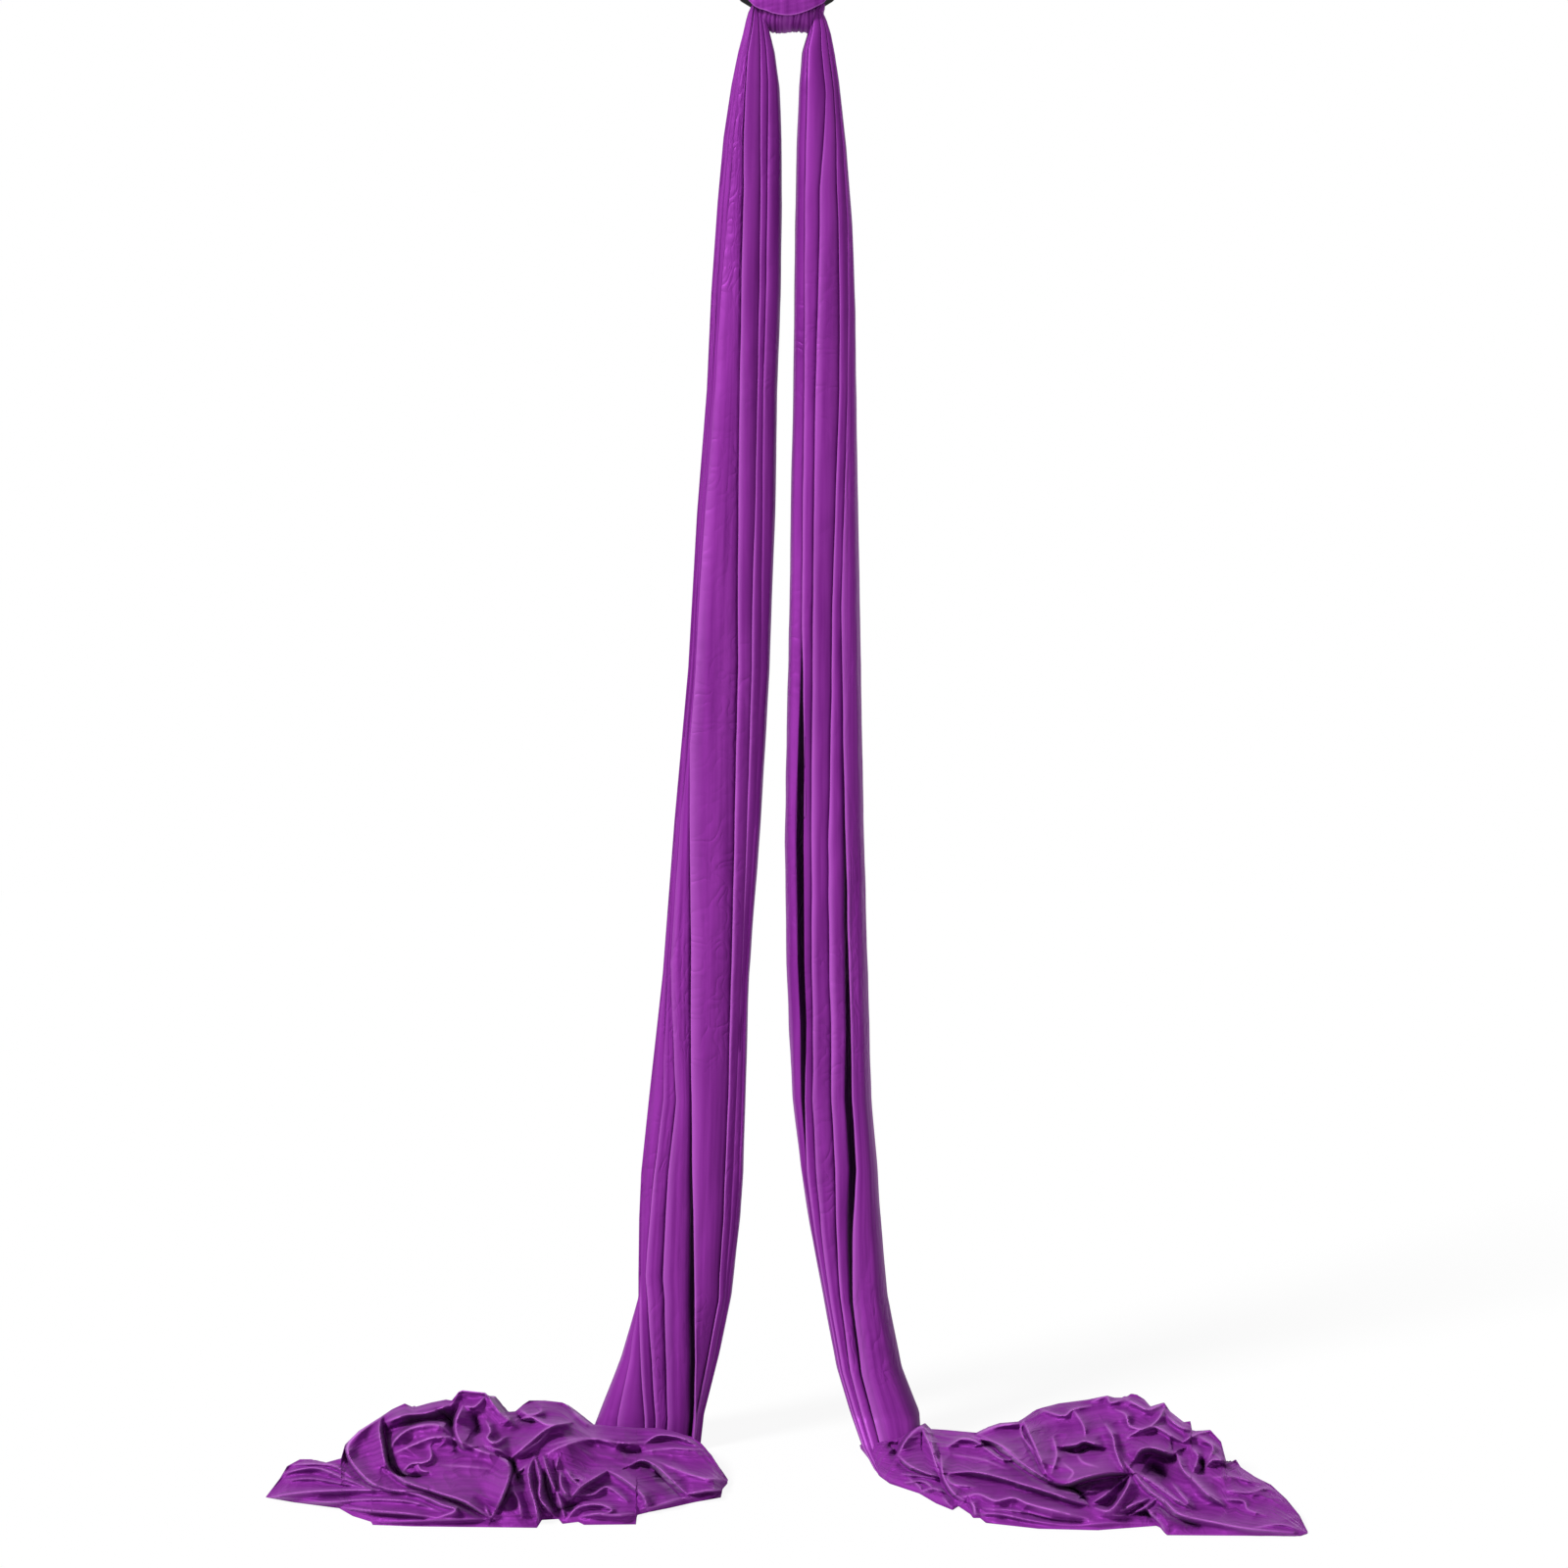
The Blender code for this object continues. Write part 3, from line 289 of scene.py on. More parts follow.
def sheet_object(name, grids):
    """A cloth from grids of points, each with its own flat places across and along it, and with a number for
    painted light: 1 gives a painted highlight along the crest of a fold, and -1 gives painted shade deep
    inside a crease."""
    points, faces, places, crests = [], [], [], []
    for grid, across, along, crest in grids:
        rows, columns = grid.shape[:2]
        first = sum(len(part) for part in points)
        faces += [
            (first + j * columns + i, first + j * columns + i + 1,
             first + (j + 1) * columns + i + 1, first + (j + 1) * columns + i)
            for j in range(rows - 1) for i in range(columns - 1)
        ]
        points.append(grid.reshape(-1, 3))
        crests.append(np.clip(crest, -1, 1).reshape(-1))
        flat = [np.broadcast_to(across, (rows, columns)), np.broadcast_to(along, (rows, columns))]
        places.append(np.stack(flat, -1).reshape(-1, 2))
    mesh = bpy.data.meshes.new(name)
    mesh.from_pydata(np.concatenate(points).tolist(), [], faces)
    mesh.polygons.foreach_set("use_smooth", [True] * len(mesh.polygons))
    layer = mesh.uv_layers.new(name="cloth")
    corners = np.zeros(len(mesh.loops), dtype=np.int32)
    mesh.loops.foreach_get("vertex_index", corners)
    layer.data.foreach_set("uv", np.concatenate(places)[corners].astype(np.float32).reshape(-1))
    # The crest attribute holds the painted light, read by the silk material
    painted_light = mesh.attributes.new("crest", "FLOAT", "POINT")
    painted_light.data.foreach_set("value", np.concatenate(crests).astype(np.float32))
    mesh.materials.append(silk)
    made = add_object(name, mesh)
    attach(made, "silks")
    return made


def spline(points, at):
    """A smooth curve through points, read at places counted in points."""
    points = np.asarray(points, dtype=float)
    ends = np.concatenate([[2 * points[0] - points[1]], points, [2 * points[-1] - points[-2]]])
    low = np.minimum(np.floor(at).astype(int), len(points) - 2)
    t = np.asarray(at - low).reshape((-1,) + (1,) * (points.ndim - 1))
    a, b, c, d = ends[low], ends[low + 1], ends[low + 2], ends[low + 3]
    return 0.5 * (
        2 * b + (c - a) * t + (2 * a - 5 * b + 4 * c - d) * t ** 2 + (3 * b - a - 3 * c + d) * t ** 3
    )


def run_along(way):
    """The length of a way up to each of its points."""
    return np.concatenate([[0.0], np.cumsum(np.linalg.norm(np.diff(way, axis=0), axis=1))])


def even_places(points, count):
    """Places on a curve, counted in points, that lie at even distances, and the curve's length."""
    at = np.linspace(0, len(points) - 1, PATH_FINENESS)
    run = run_along(spline(points, at)[:, :2])
    return np.interp(np.linspace(0, run[-1], count), run, at), run[-1]


# Tails. Each table gives numbers at rows of the photograph: the columns of the left and right edge

LEFT_TAIL_EDGES = [
    (5, 768.5, 776), (8, 766.5, 777.5), (13, 764, 780), (22, 761.5, 783), (36, 758.5, 786.5),
    (56, 753.5, 791.5), (89, 747, 796), (143, 739, 798), (209, 733, 798.5), (301, 726.5, 797),
    (400, 722, 793), (525, 712, 791), (682, 703, 785.5), (837, 689, 776), (994, 677, 765), (1119, 663, 761),
    (1195, 655, 758.5), (1241, 653, 755), (1321, 652, 746), (1383, 634, 733), (1440, 612, 718),
    (1471, 600, 714),
]
RIGHT_TAIL_EDGES = [
    (5, 832, 842), (9, 830.5, 842), (14, 829.5, 839.5), (22, 827, 843.5), (36, 824, 848), (56, 818, 852),
    (89, 815, 857), (153, 812.5, 864), (230, 811, 870), (319, 810, 873), (400, 809, 874), (525, 806.5, 876),
    (682, 804.5, 879), (861, 801, 882), (982, 802, 885), (1054, 805, 887), (1119, 808, 889),
    (1190, 816, 895), (1252, 826, 899), (1321, 840, 905), (1394, 854, 920), (1440, 868, 938),
    (1475, 880, 940), (1506, 897, 930),
]
# The creases across the front, in percent of the width
LEFT_CREASES = [
    (8, 0.7, 1.5, 6, 14, 22, 36, 62, 78), (60, 0.7, 1.5, 5, 12, 19, 28, 60, 77),
    (200, 0.7, 1.5, 4, 10, 18, 40, 67, 78), (400, 0.7, 1.5, 3, 7, 13, 49, 73, 82),
    (622, 0.7, 1.5, 3, 6, 10, 59, 77, 88), (760, 0.8, 1.5, 3, 7, 12, 67, 83, 92),
    (982, 0.8, 1.5, 4, 10, 33, 80, 91, 96), (1119, 0.8, 1.5, 16, 30, 45, 83, 91, 96),
    (1195, 0.8, 1.5, 14, 28, 50, 83, 91, 96), (1298, 0.8, 2, 9, 27, 57, 86, 93, 96.5),
    (1321, 1.2, 3, 12, 30, 59, 88, 94, 97), (1383, 11, 23, 34, 48, 75, 90, 95, 97.5),
    (1440, 20, 46, 56, 67, 90, 94, 96.5, 98), (1471, 27, 54, 62, 71, 92, 95, 97, 98.5),
]
RIGHT_CREASES = [
    (8, 20, 55, 78, 92), (100, 21, 65, 83, 94), (200, 18, 46, 75, 92), (400, 19, 37, 73, 86),
    (622, 19, 34, 61, 74), (861, 19, 35, 56, 75), (1042, 19, 31, 55, 73), (1190, 10, 22, 46, 68),
    (1321, 5, 12, 27, 44), (1440, 4, 9, 18, 32),
]
# How deep each of those creases goes, in percent of a full tuck
LEFT_TUCKS = [
    (8, 0, 0, 0, 30, 30, 90, 90, 70), (200, 0, 0, 0, 0, 10, 100, 90, 70),
    (400, 0, 0, 0, 0, 40, 100, 90, 60), (622, 0, 0, 0, 0, 100, 100, 90, 20),
    (760, 0, 0, 0, 10, 100, 100, 90, 0), (982, 0, 0, 0, 70, 100, 100, 60, 0),
    (1080, 0, 0, 40, 80, 100, 100, 30, 0), (1195, 0, 0, 90, 90, 100, 100, 20, 0),
    (1300, 0, 0, 90, 90, 100, 100, 30, 20), (1325, 25, 70, 90, 90, 100, 100, 30, 20),
    (1440, 70, 100, 90, 80, 100, 100, 50, 30),
]
RIGHT_TUCKS = [
    (8, 80, 80, 80, 40), (200, 90, 90, 90, 30), (489, 100, 90, 90, 70), (740, 100, 90, 90, 90),
    (1190, 100, 90, 90, 100),
]
# How wide each crease stands open, in photograph pixels
LEFT_MOUTHS = [
    (8, 0, 0, 0, 0, 0, 1, 0.5, 0.5), (600, 0, 0, 0, 0, 0.2, 0.3, 0.2, 0),
    (1060, 0, 0, 0, 0, 0.8, 0.6, 0, 0), (1195, 0, 0, 0, 0.4, 3.5, 0.6, 0, 0),
    (1321, 0, 0, 0.2, 1, 7, 0.6, 0, 0), (1440, 0.3, 0.4, 0.5, 0.8, 7.5, 1, 0, 0),
]
RIGHT_MOUTHS = [
    (8, 0.5, 0, 0, 0), (640, 0.3, 0, 0.5, 0), (740, 6, 0.2, 0.3, 0.5), (837, 11, 0.2, 0.2, 2),
    (909, 10, 0.3, 0.2, 4.5), (1042, 8, 0.5, 0.5, 7.5), (1119, 5, 0.4, 0.6, 9), (1190, 1, 0.3, 1, 8),
    (1310, 0.4, 0.4, 1.5, 2.5), (1440, 0.4, 0.4, 1, 1.5),
]
BACK_CREASE_SHARES = (0.09, 0.20, 0.32, 0.43, 0.57, 0.69, 0.80, 0.91)
DEPTH_SHARES = [(5, 0.2), (12, 0.34), (36, 0.55), (89, 0.85), (209, 1), (1440, 1), (1506, 0.6)]
SQUARENESS = 3.2
# How far the tail comes forward at its foot, in metres
LEFT_FORWARD = [(8, 0), (1400, 0), (1440, 0.004), (1471, 0.012)]
RIGHT_FORWARD = [(8, 0), (1380, 0), (1440, 0.015), (1475, 0.07), (1506, 0.165)]
# How strong the small waves of the cloth are
LEFT_WAVES = [(8, 0.5), (60, 0.9), (400, 0.8), (900, 0.9), (1320, 1.1)]
RIGHT_WAVES = [(8, 0.5), (60, 0.9), (500, 1), (760, 1.5), (1200, 1.6), (1320, 1.2)]
# Rows with how strong the painted highlights on the fold edges of the tails are
PAINTED_HIGHLIGHT_ROWS = [(5, 0.2), (100, 0.22), (250, 0.4), (700, 0.55), (1500, 0.65)]


def read_table(table, row):
    """A table's numbers at one row, straight between its entries."""
    table = np.array(table, dtype=float)
    at = np.interp(row, table[:, 0], np.arange(len(table)))
    low = min(int(at), len(table) - 2)
    return table[low, 1:] + (table[low + 1, 1:] - table[low, 1:]) * (at - low)


def rounding(share):
    """How far a tail's outline stands out, as a share of its greatest depth."""
    return (1 - abs(2 * share - 1) ** SQUARENESS) ** (1 / SQUARENESS)


def tail_section(width, depth, creases, tucks, mouths):
    """Points across the cloth of one tail, from the middle of the back round the front and back again.
    X runs from the left edge, and Y is towards the back. Each panel's left edge lies over the end of
    the panel on its left, and a mouth holds the two apart."""
    # The third number of each point is its painted light
    half = depth / 2
    lap = min(PANEL_LAP, width * 0.02)
    lean = min(TUCK_LEAN, width * 0.11)

    def tuck(share, out, back_side, amount, mouth, lift):
        x = share * width
        side = -1 if back_side else 1
        deep = TUCK_SHARE * amount
        # How strong the painted shade inside this crease and the painted highlight on its fold edge are
        shade = amount * (BACK_PAINTED_LIGHT_SHARE if back_side else 1.0)
        return [
            (x - side * mouth, out * (1 - 0.04 * amount), -0.5 * shade),
            (x + side * (lap * amount - mouth), out * (1 - 0.35 * deep), -shade),
            (x + side * lean * 0.6 * amount, out * (1 - deep), -shade),
            (x + side * lean * amount, out * (1 - 2 * deep), 0.0),
            (x + side * (lean * 0.6 * amount + lap + mouth * 0.7), out * (1 - deep), -shade),
            (x + side * (lap * 1.2 + mouth), out * (1 - 0.25 * deep), -shade),
            (x + side * (mouth - lap * 0.55),
             out * (1 - 0.03 * amount) + math.copysign(lift * 0.3, out), 0.0),
            (x + side * (mouth - lap * 0.75), out + math.copysign(lift * 0.75, out), 0.95 * shade),
            (x + side * (mouth + lap * 0.15), out + math.copysign(lift, out), 0.8 * shade),
        ]

    def panel(low, high, sign, places, lift):
        found = []
        for place in places:
            share = low + (high - low) * place
            out = half * rounding(share) + lift * (1 - place ** 1.8)
            # Painted shading: lighter at the panel's left, darker at its right
            found.append((share * width, sign * out, PANEL_PAINTED_SHADING * (0.4 - place)))
        return found

    def back_half(start, marks, end):
        found = []
        marks = [start, *marks[::-1], end]
        for high, low in zip(marks, marks[1:]):
            if high < start:
                found += tuck(high, half * rounding(high), True, BACK_TUCK, 0.0, PANEL_LIFT)
            places = (1.0, 0.55) if high == BACK_SEAM[0] else (0.7, 0.3)
            places = (0.5, 0.0) if low == BACK_SEAM[1] else places
            found += panel(low, high, 1, places, 0.0)
        return found

    middle = len(BACK_CREASE_SHARES) // 2
    # A little painted shade at the tail's left edge
    points = back_half(BACK_SEAM[0], BACK_CREASE_SHARES[:middle], 0.0) + [(0.0, 0.0, -0.1)]
    marks = [0.0, *creases, 1.0]
    for k, (low, high) in enumerate(zip(marks, marks[1:])):
        lift = 0.0
        if k:
            lift = tucks[k - 1] * min(PANEL_LIFT, PANEL_LIFT_SHARE * (high - low) * width)
            out = -half * rounding(low)
            points += tuck(low, out, False, tucks[k - 1], mouths[k - 1] * PIXEL / 2, lift)
        points += panel(low, high, -1, (0.25, 0.5, 0.75), lift)
    # Painted shade at the tail's right edge
    points.append((width, 0.0, -0.3))
    return np.array(points + back_half(1.0, BACK_CREASE_SHARES[middle:], BACK_SEAM[1]))


def side_section(side, row, depth):
    """One tail's section at a photograph row, and where its left edge is."""
    left, right = read_table(side["edges"], row)
    creases, tucks = read_table(side["creases"], row) * 0.01, read_table(side["tucks"], row) * 0.01
    mouths = read_table(side["mouths"], row)
    return tail_section(photo_x(right) - photo_x(left), depth, creases, tucks, mouths), photo_x(left)


WIDE_WAVE = 0.0022
FINE_WAVE = 0.0007


def wrinkle(u, v, seed):
    """Small waves of the cloth: long along the tail, short across it."""
    wide = noise.noise(Vector((u * 20 + seed, v * 2.0, seed)))
    fine = noise.noise(Vector((u * 60 + v * 12 - seed, v * 7.5, 3.1 + seed)))
    return WIDE_WAVE * wide + FINE_WAVE * fine


def tail_rows(side, places, rows):
    """The hanging part of one tail as a grid of points, from the ring down, with its painted light."""
    grid = np.zeros((len(rows), len(places), 3))
    crest = np.zeros(grid.shape[:2])
    for j, row in enumerate(rows):
        points, left = side_section(side, row, TAIL_DEPTH * read_table(DEPTH_SHARES, row)[0])
        across = spline(points, places)
        forward = read_table(side["forward"], row)[0]
        share = (CAMERA_BACK - forward) / CAMERA_BACK
        grid[j, :, 0] = CAMERA_PLACE[0] + (left + across[:, 0] - CAMERA_PLACE[0]) * share
        grid[j, :, 1] = across[:, 1] - forward
        # The section's painted light, with its painted highlights made weaker near the ring
        crest[j] = across[:, 2]
        crest[j, crest[j] > 0] *= read_table(PAINTED_HIGHLIGHT_ROWS, row)[0]
        grid[j, :, 2] = CAMERA_PLACE[2] + (photo_z(row) - CAMERA_PLACE[2]) * share
    return grid, crest


def add_wrinkles(grid, across, along, seed, strength):
    """Moves a grid's points along its own normals by the small waves, each row by its own strength."""
    du = np.gradient(grid, axis=1)
    dv = np.gradient(grid, axis=0)
    normals = np.cross(du, dv)
    normals /= np.maximum(np.linalg.norm(normals, axis=2, keepdims=True), 1e-9)
    heights = np.zeros(grid.shape[:2])
    for j in range(grid.shape[0]):
        if strength[j] > 0:
            heights[j] = [strength[j] * wrinkle(u, along[j], seed) for u in across]
    return grid + normals * heights[..., None]


# Floor piles. Their folds were measured on enlargements of the photograph. A pile's surface is laid
# along the camera's lines of sight, so that each fold lies where the photograph shows it.

LOOK_UP = 0.24
UPPER_RELIEF = 0.35
CREST_POWER = 2.6
ENDS_SHARE = 0.35
GROOVE_RATIO = 2.2
GROOVE_AWAY = 2.2
GROOVE_SHARE = 0.28
# Width of the painted highlight lines on fold crests, and strength of these and of the painted shade lines
# beside them
PAINTED_LINE_WIDTH = 4.6
PAINTED_HIGHLIGHT_LINE = 1.0
PAINTED_SHADE_LINE = 0.7
PILE_ROWS = 170
NEAREST_Y = -0.512
NEAREST_EASE = 0.045
EVENED_COLUMNS = 61
PILE_BACK_ROWS = 46
PILE_COLUMN_STEP = 0.85
BACK_REACH = 0.10
BACK_SLOPE = 0.36
BACK_LEAST_SLOPE = 0.31
CREST_CALM = 0.75
CALM_FROM = 0.84
LEAST_HEIGHT = 0.0008
BROAD_CRUMPLE = 0.010
SMALL_CRUMPLE = 0.0035
WALL_SHARE = 0.92
WALL_POWER = 1.12

# Columns with the row of the pile's upper outline and its height over the floor in millimetres
LEFT_PILE_TOP = [
    (271.5, 1527, 4), (280, 1516, 14), (286, 1508, 20), (293, 1496, 30), (306, 1489, 35), (318, 1489, 38),
    (330, 1493, 38), (348, 1488, 45), (352, 1474, 60), (366, 1460, 75), (388, 1446, 90), (400, 1438, 98),
    (413, 1432, 105), (422, 1436, 102), (440, 1431, 106), (455, 1428, 110), (461, 1429, 110),
    (468, 1420, 120), (472, 1418.5, 121), (495, 1421, 118), (504, 1432, 104), (511, 1441, 92),
    (526, 1440, 88), (534, 1433, 90), (540, 1429, 92), (556, 1429, 91), (574, 1431, 86), (586, 1440, 70),
    (603, 1453, 46), (622, 1455, 42), (650, 1457, 39), (670, 1457, 39), (685, 1460, 38), (705, 1466, 36),
    (716, 1473, 34), (725, 1484, 30), (735, 1500, 22), (743, 1511, 12),
]
LEFT_PILE_FRONT = [
    (271.5, 1528), (300, 1533), (346, 1539), (360, 1547), (379, 1553), (380, 1556), (420, 1557.5),
    (548, 1559), (553, 1551), (570, 1550), (574, 1555), (590, 1553), (596, 1556), (649, 1555.5),
    (650, 1546), (662, 1543), (682, 1539), (708, 1533), (736, 1528), (737, 1520), (743, 1513),
]
RIGHT_PILE_TOP = [
    (878, 1474, 30), (886, 1474, 32), (905, 1470, 36), (920, 1466, 40), (936, 1456, 46), (944, 1452, 48),
    (950, 1458, 44), (965, 1459, 43), (998, 1462, 45), (1008, 1456, 52), (1020, 1452, 58), (1044, 1450, 65),
    (1047, 1446, 70), (1061, 1437, 85), (1080, 1432, 95), (1110, 1428, 102), (1124, 1425, 106),
    (1130, 1424, 108), (1137, 1426, 106), (1149, 1426, 107), (1154, 1422, 112), (1160, 1423, 111),
    (1168, 1428, 104), (1174, 1435, 96), (1184, 1432, 100), (1188, 1431, 101), (1194, 1440, 91),
    (1208, 1451, 78), (1215, 1450, 79), (1216, 1459, 70), (1220, 1460, 69), (1235, 1459, 69),
    (1246, 1471, 58), (1261, 1489, 40), (1252, 1494, 36), (1266, 1497, 34), (1281, 1507, 28),
    (1297, 1515, 22), (1313, 1530, 16), (1326, 1546, 10), (1334.5, 1563, 5),
]
RIGHT_PILE_FRONT = [
    (878, 1478), (886, 1488), (897, 1506), (908, 1514), (938, 1524), (955, 1534), (972, 1541), (978, 1537),
    (990, 1545), (993, 1549), (1000, 1549), (1006, 1554), (1060, 1560), (1120, 1561.5), (1180, 1557),
    (1184, 1559), (1191, 1567.5), (1240, 1568), (1327, 1569), (1334.5, 1564.5),
]
# Folds: height in millimetres, reach on the left and on the right, then the way as x, y, x, y and so
# on. Reach and way are in pixels of the enlargement.
LEFT_FOLDS = [
    (14, 55, 6, 515, 185, 440, 235, 385, 290, 385, 345, 430, 410, 500, 465, 600, 490),
    (16, 8, 50, 515, 185, 510, 240, 520, 300, 540, 380, 600, 440, 700, 480),
    (15, 95, 8, 540, 400, 620, 450, 740, 490, 860, 530, 960, 592),
    (16, 6, 85, 1000, 350, 1040, 382, 1035, 440, 1012, 500, 985, 560),
    (13, 14, 60, 545, 330, 580, 270, 650, 225, 740, 215, 790, 245, 800, 268),
    (9, 30, 60, 550, 340, 640, 300, 740, 265, 830, 280, 930, 325, 1030, 345),
    (8, 10, 16, 715, 300, 720, 350, 690, 370, 640, 375, 600, 410),
    (6, 10, 12, 660, 370, 680, 400, 720, 410),
    (10, 36, 44, 530, 205, 620, 175, 700, 168, 780, 140, 835, 118),
    (10, 12, 30, 820, 105, 845, 78, 940, 88, 975, 130, 1005, 165),
    (14, 55, 10, 850, 138, 825, 190, 820, 240, 850, 300, 880, 305),
    (8, 20, 16, 855, 140, 900, 140, 945, 95),
    (-9, 26, 26, 885, 170, 905, 220, 900, 265),
    (9, 12, 18, 945, 200, 962, 240, 950, 270, 980, 292, 1018, 268),
    (6, 10, 10, 935, 300, 1000, 322, 1030, 345),
    (8, 12, 24, 985, 150, 1020, 180, 1050, 208),
    (9, 12, 26, 1070, 195, 1130, 185, 1185, 212, 1240, 215, 1288, 205),
    (7, 16, 22, 1085, 155, 1120, 175, 1165, 165, 1168, 150),
    (10, 16, 22, 1288, 208, 1230, 216, 1180, 240, 1120, 290, 1045, 352),
    (7, 12, 14, 1200, 240, 1150, 290, 1060, 345),
    (6, 30, 30, 1300, 165, 1340, 200, 1375, 222),
    (11, 55, 60, 1190, 335, 1260, 300, 1380, 272, 1500, 290, 1600, 285),
    (5, 14, 14, 1380, 268, 1300, 275, 1200, 300),
    (9, 25, 12, 1590, 292, 1650, 258, 1740, 268, 1800, 300),
    (6, 14, 20, 1560, 330, 1620, 320, 1700, 312, 1830, 318),
    (11, 30, 10, 1530, 382, 1580, 360, 1640, 385, 1700, 440, 1765, 500),
    (8, 36, 6, 1765, 498, 1840, 484, 1905, 480),
    (7, 14, 30, 1620, 355, 1720, 395, 1820, 430, 1925, 440),
    (8, 12, 14, 1580, 560, 1640, 545, 1720, 520, 1800, 510),
    (13, 10, 20, 1140, 350, 1118, 400, 1125, 470, 1145, 540, 1160, 620),
    (13, 9, 14, 1145, 352, 1165, 430, 1165, 510, 1200, 560, 1240, 612),
    (13, 9, 16, 1178, 345, 1205, 430, 1240, 510, 1265, 590),
    (8, 12, 12, 1112, 378, 1060, 425, 1042, 475),
    (12, 12, 18, 1245, 405, 1252, 465, 1285, 518),
    (12, 16, 10, 1285, 518, 1340, 462, 1440, 402),
    (12, 26, 12, 1440, 402, 1510, 440, 1585, 505, 1600, 560),
    (7, 8, 8, 1270, 400, 1300, 440, 1335, 470),
    (6, 8, 10, 1290, 440, 1320, 435, 1350, 445),
    (6, 12, 12, 1300, 502, 1380, 500, 1440, 470, 1520, 525),
    (8, 10, 12, 1275, 600, 1320, 552, 1400, 540, 1458, 562, 1420, 582),
    (7, 8, 10, 1330, 590, 1400, 578, 1460, 585, 1540, 580),
    (9, 10, 22, 1240, 350, 1230, 400, 1240, 500),
    (7, 10, 16, 120, 412, 250, 392, 380, 440, 480, 482),
    (6, 10, 14, 150, 378, 260, 376, 330, 385, 400, 432),
    (8, 10, 18, 50, 513, 200, 490, 380, 482, 520, 482, 700, 492, 800, 535),
    (5, 8, 10, 130, 440, 240, 436, 380, 460, 430, 470),
    (6, 10, 14, 120, 530, 300, 530, 480, 520, 640, 530, 760, 570),
    (7, 20, 6, 340, 552, 460, 565, 640, 580, 760, 598),
    (8, 14, 10, 600, 488, 680, 505, 760, 540, 820, 565, 730, 600),
    (8, 26, 6, 470, 618, 700, 606, 860, 600, 980, 600),
    (9, 26, 30, 1045, 470, 1075, 520, 1090, 590),
    (6, 10, 10, 940, 548, 962, 590, 990, 556),
    (5, 40, 50, 760, 380, 860, 385, 960, 395),
    (-13, 18, 18, 542, 310, 546, 360, 560, 402, 620, 425, 720, 428),
    (-10, 22, 22, 740, 150, 800, 200, 812, 262),
    (-8, 16, 16, 600, 215, 700, 195, 780, 190),
    (-12, 14, 14, 1048, 360, 1062, 400, 1080, 452),
    (-10, 10, 10, 1222, 365, 1232, 440, 1228, 520),
    (-8, 10, 10, 1185, 400, 1190, 480, 1220, 560),
    (-8, 12, 12, 1075, 175, 1100, 200, 1150, 205),
    (-8, 24, 24, 1480, 300, 1530, 330, 1600, 325),
    (-8, 14, 14, 1630, 400, 1700, 470, 1750, 520),
    (-7, 12, 12, 1330, 540, 1250, 560, 1200, 590),
]
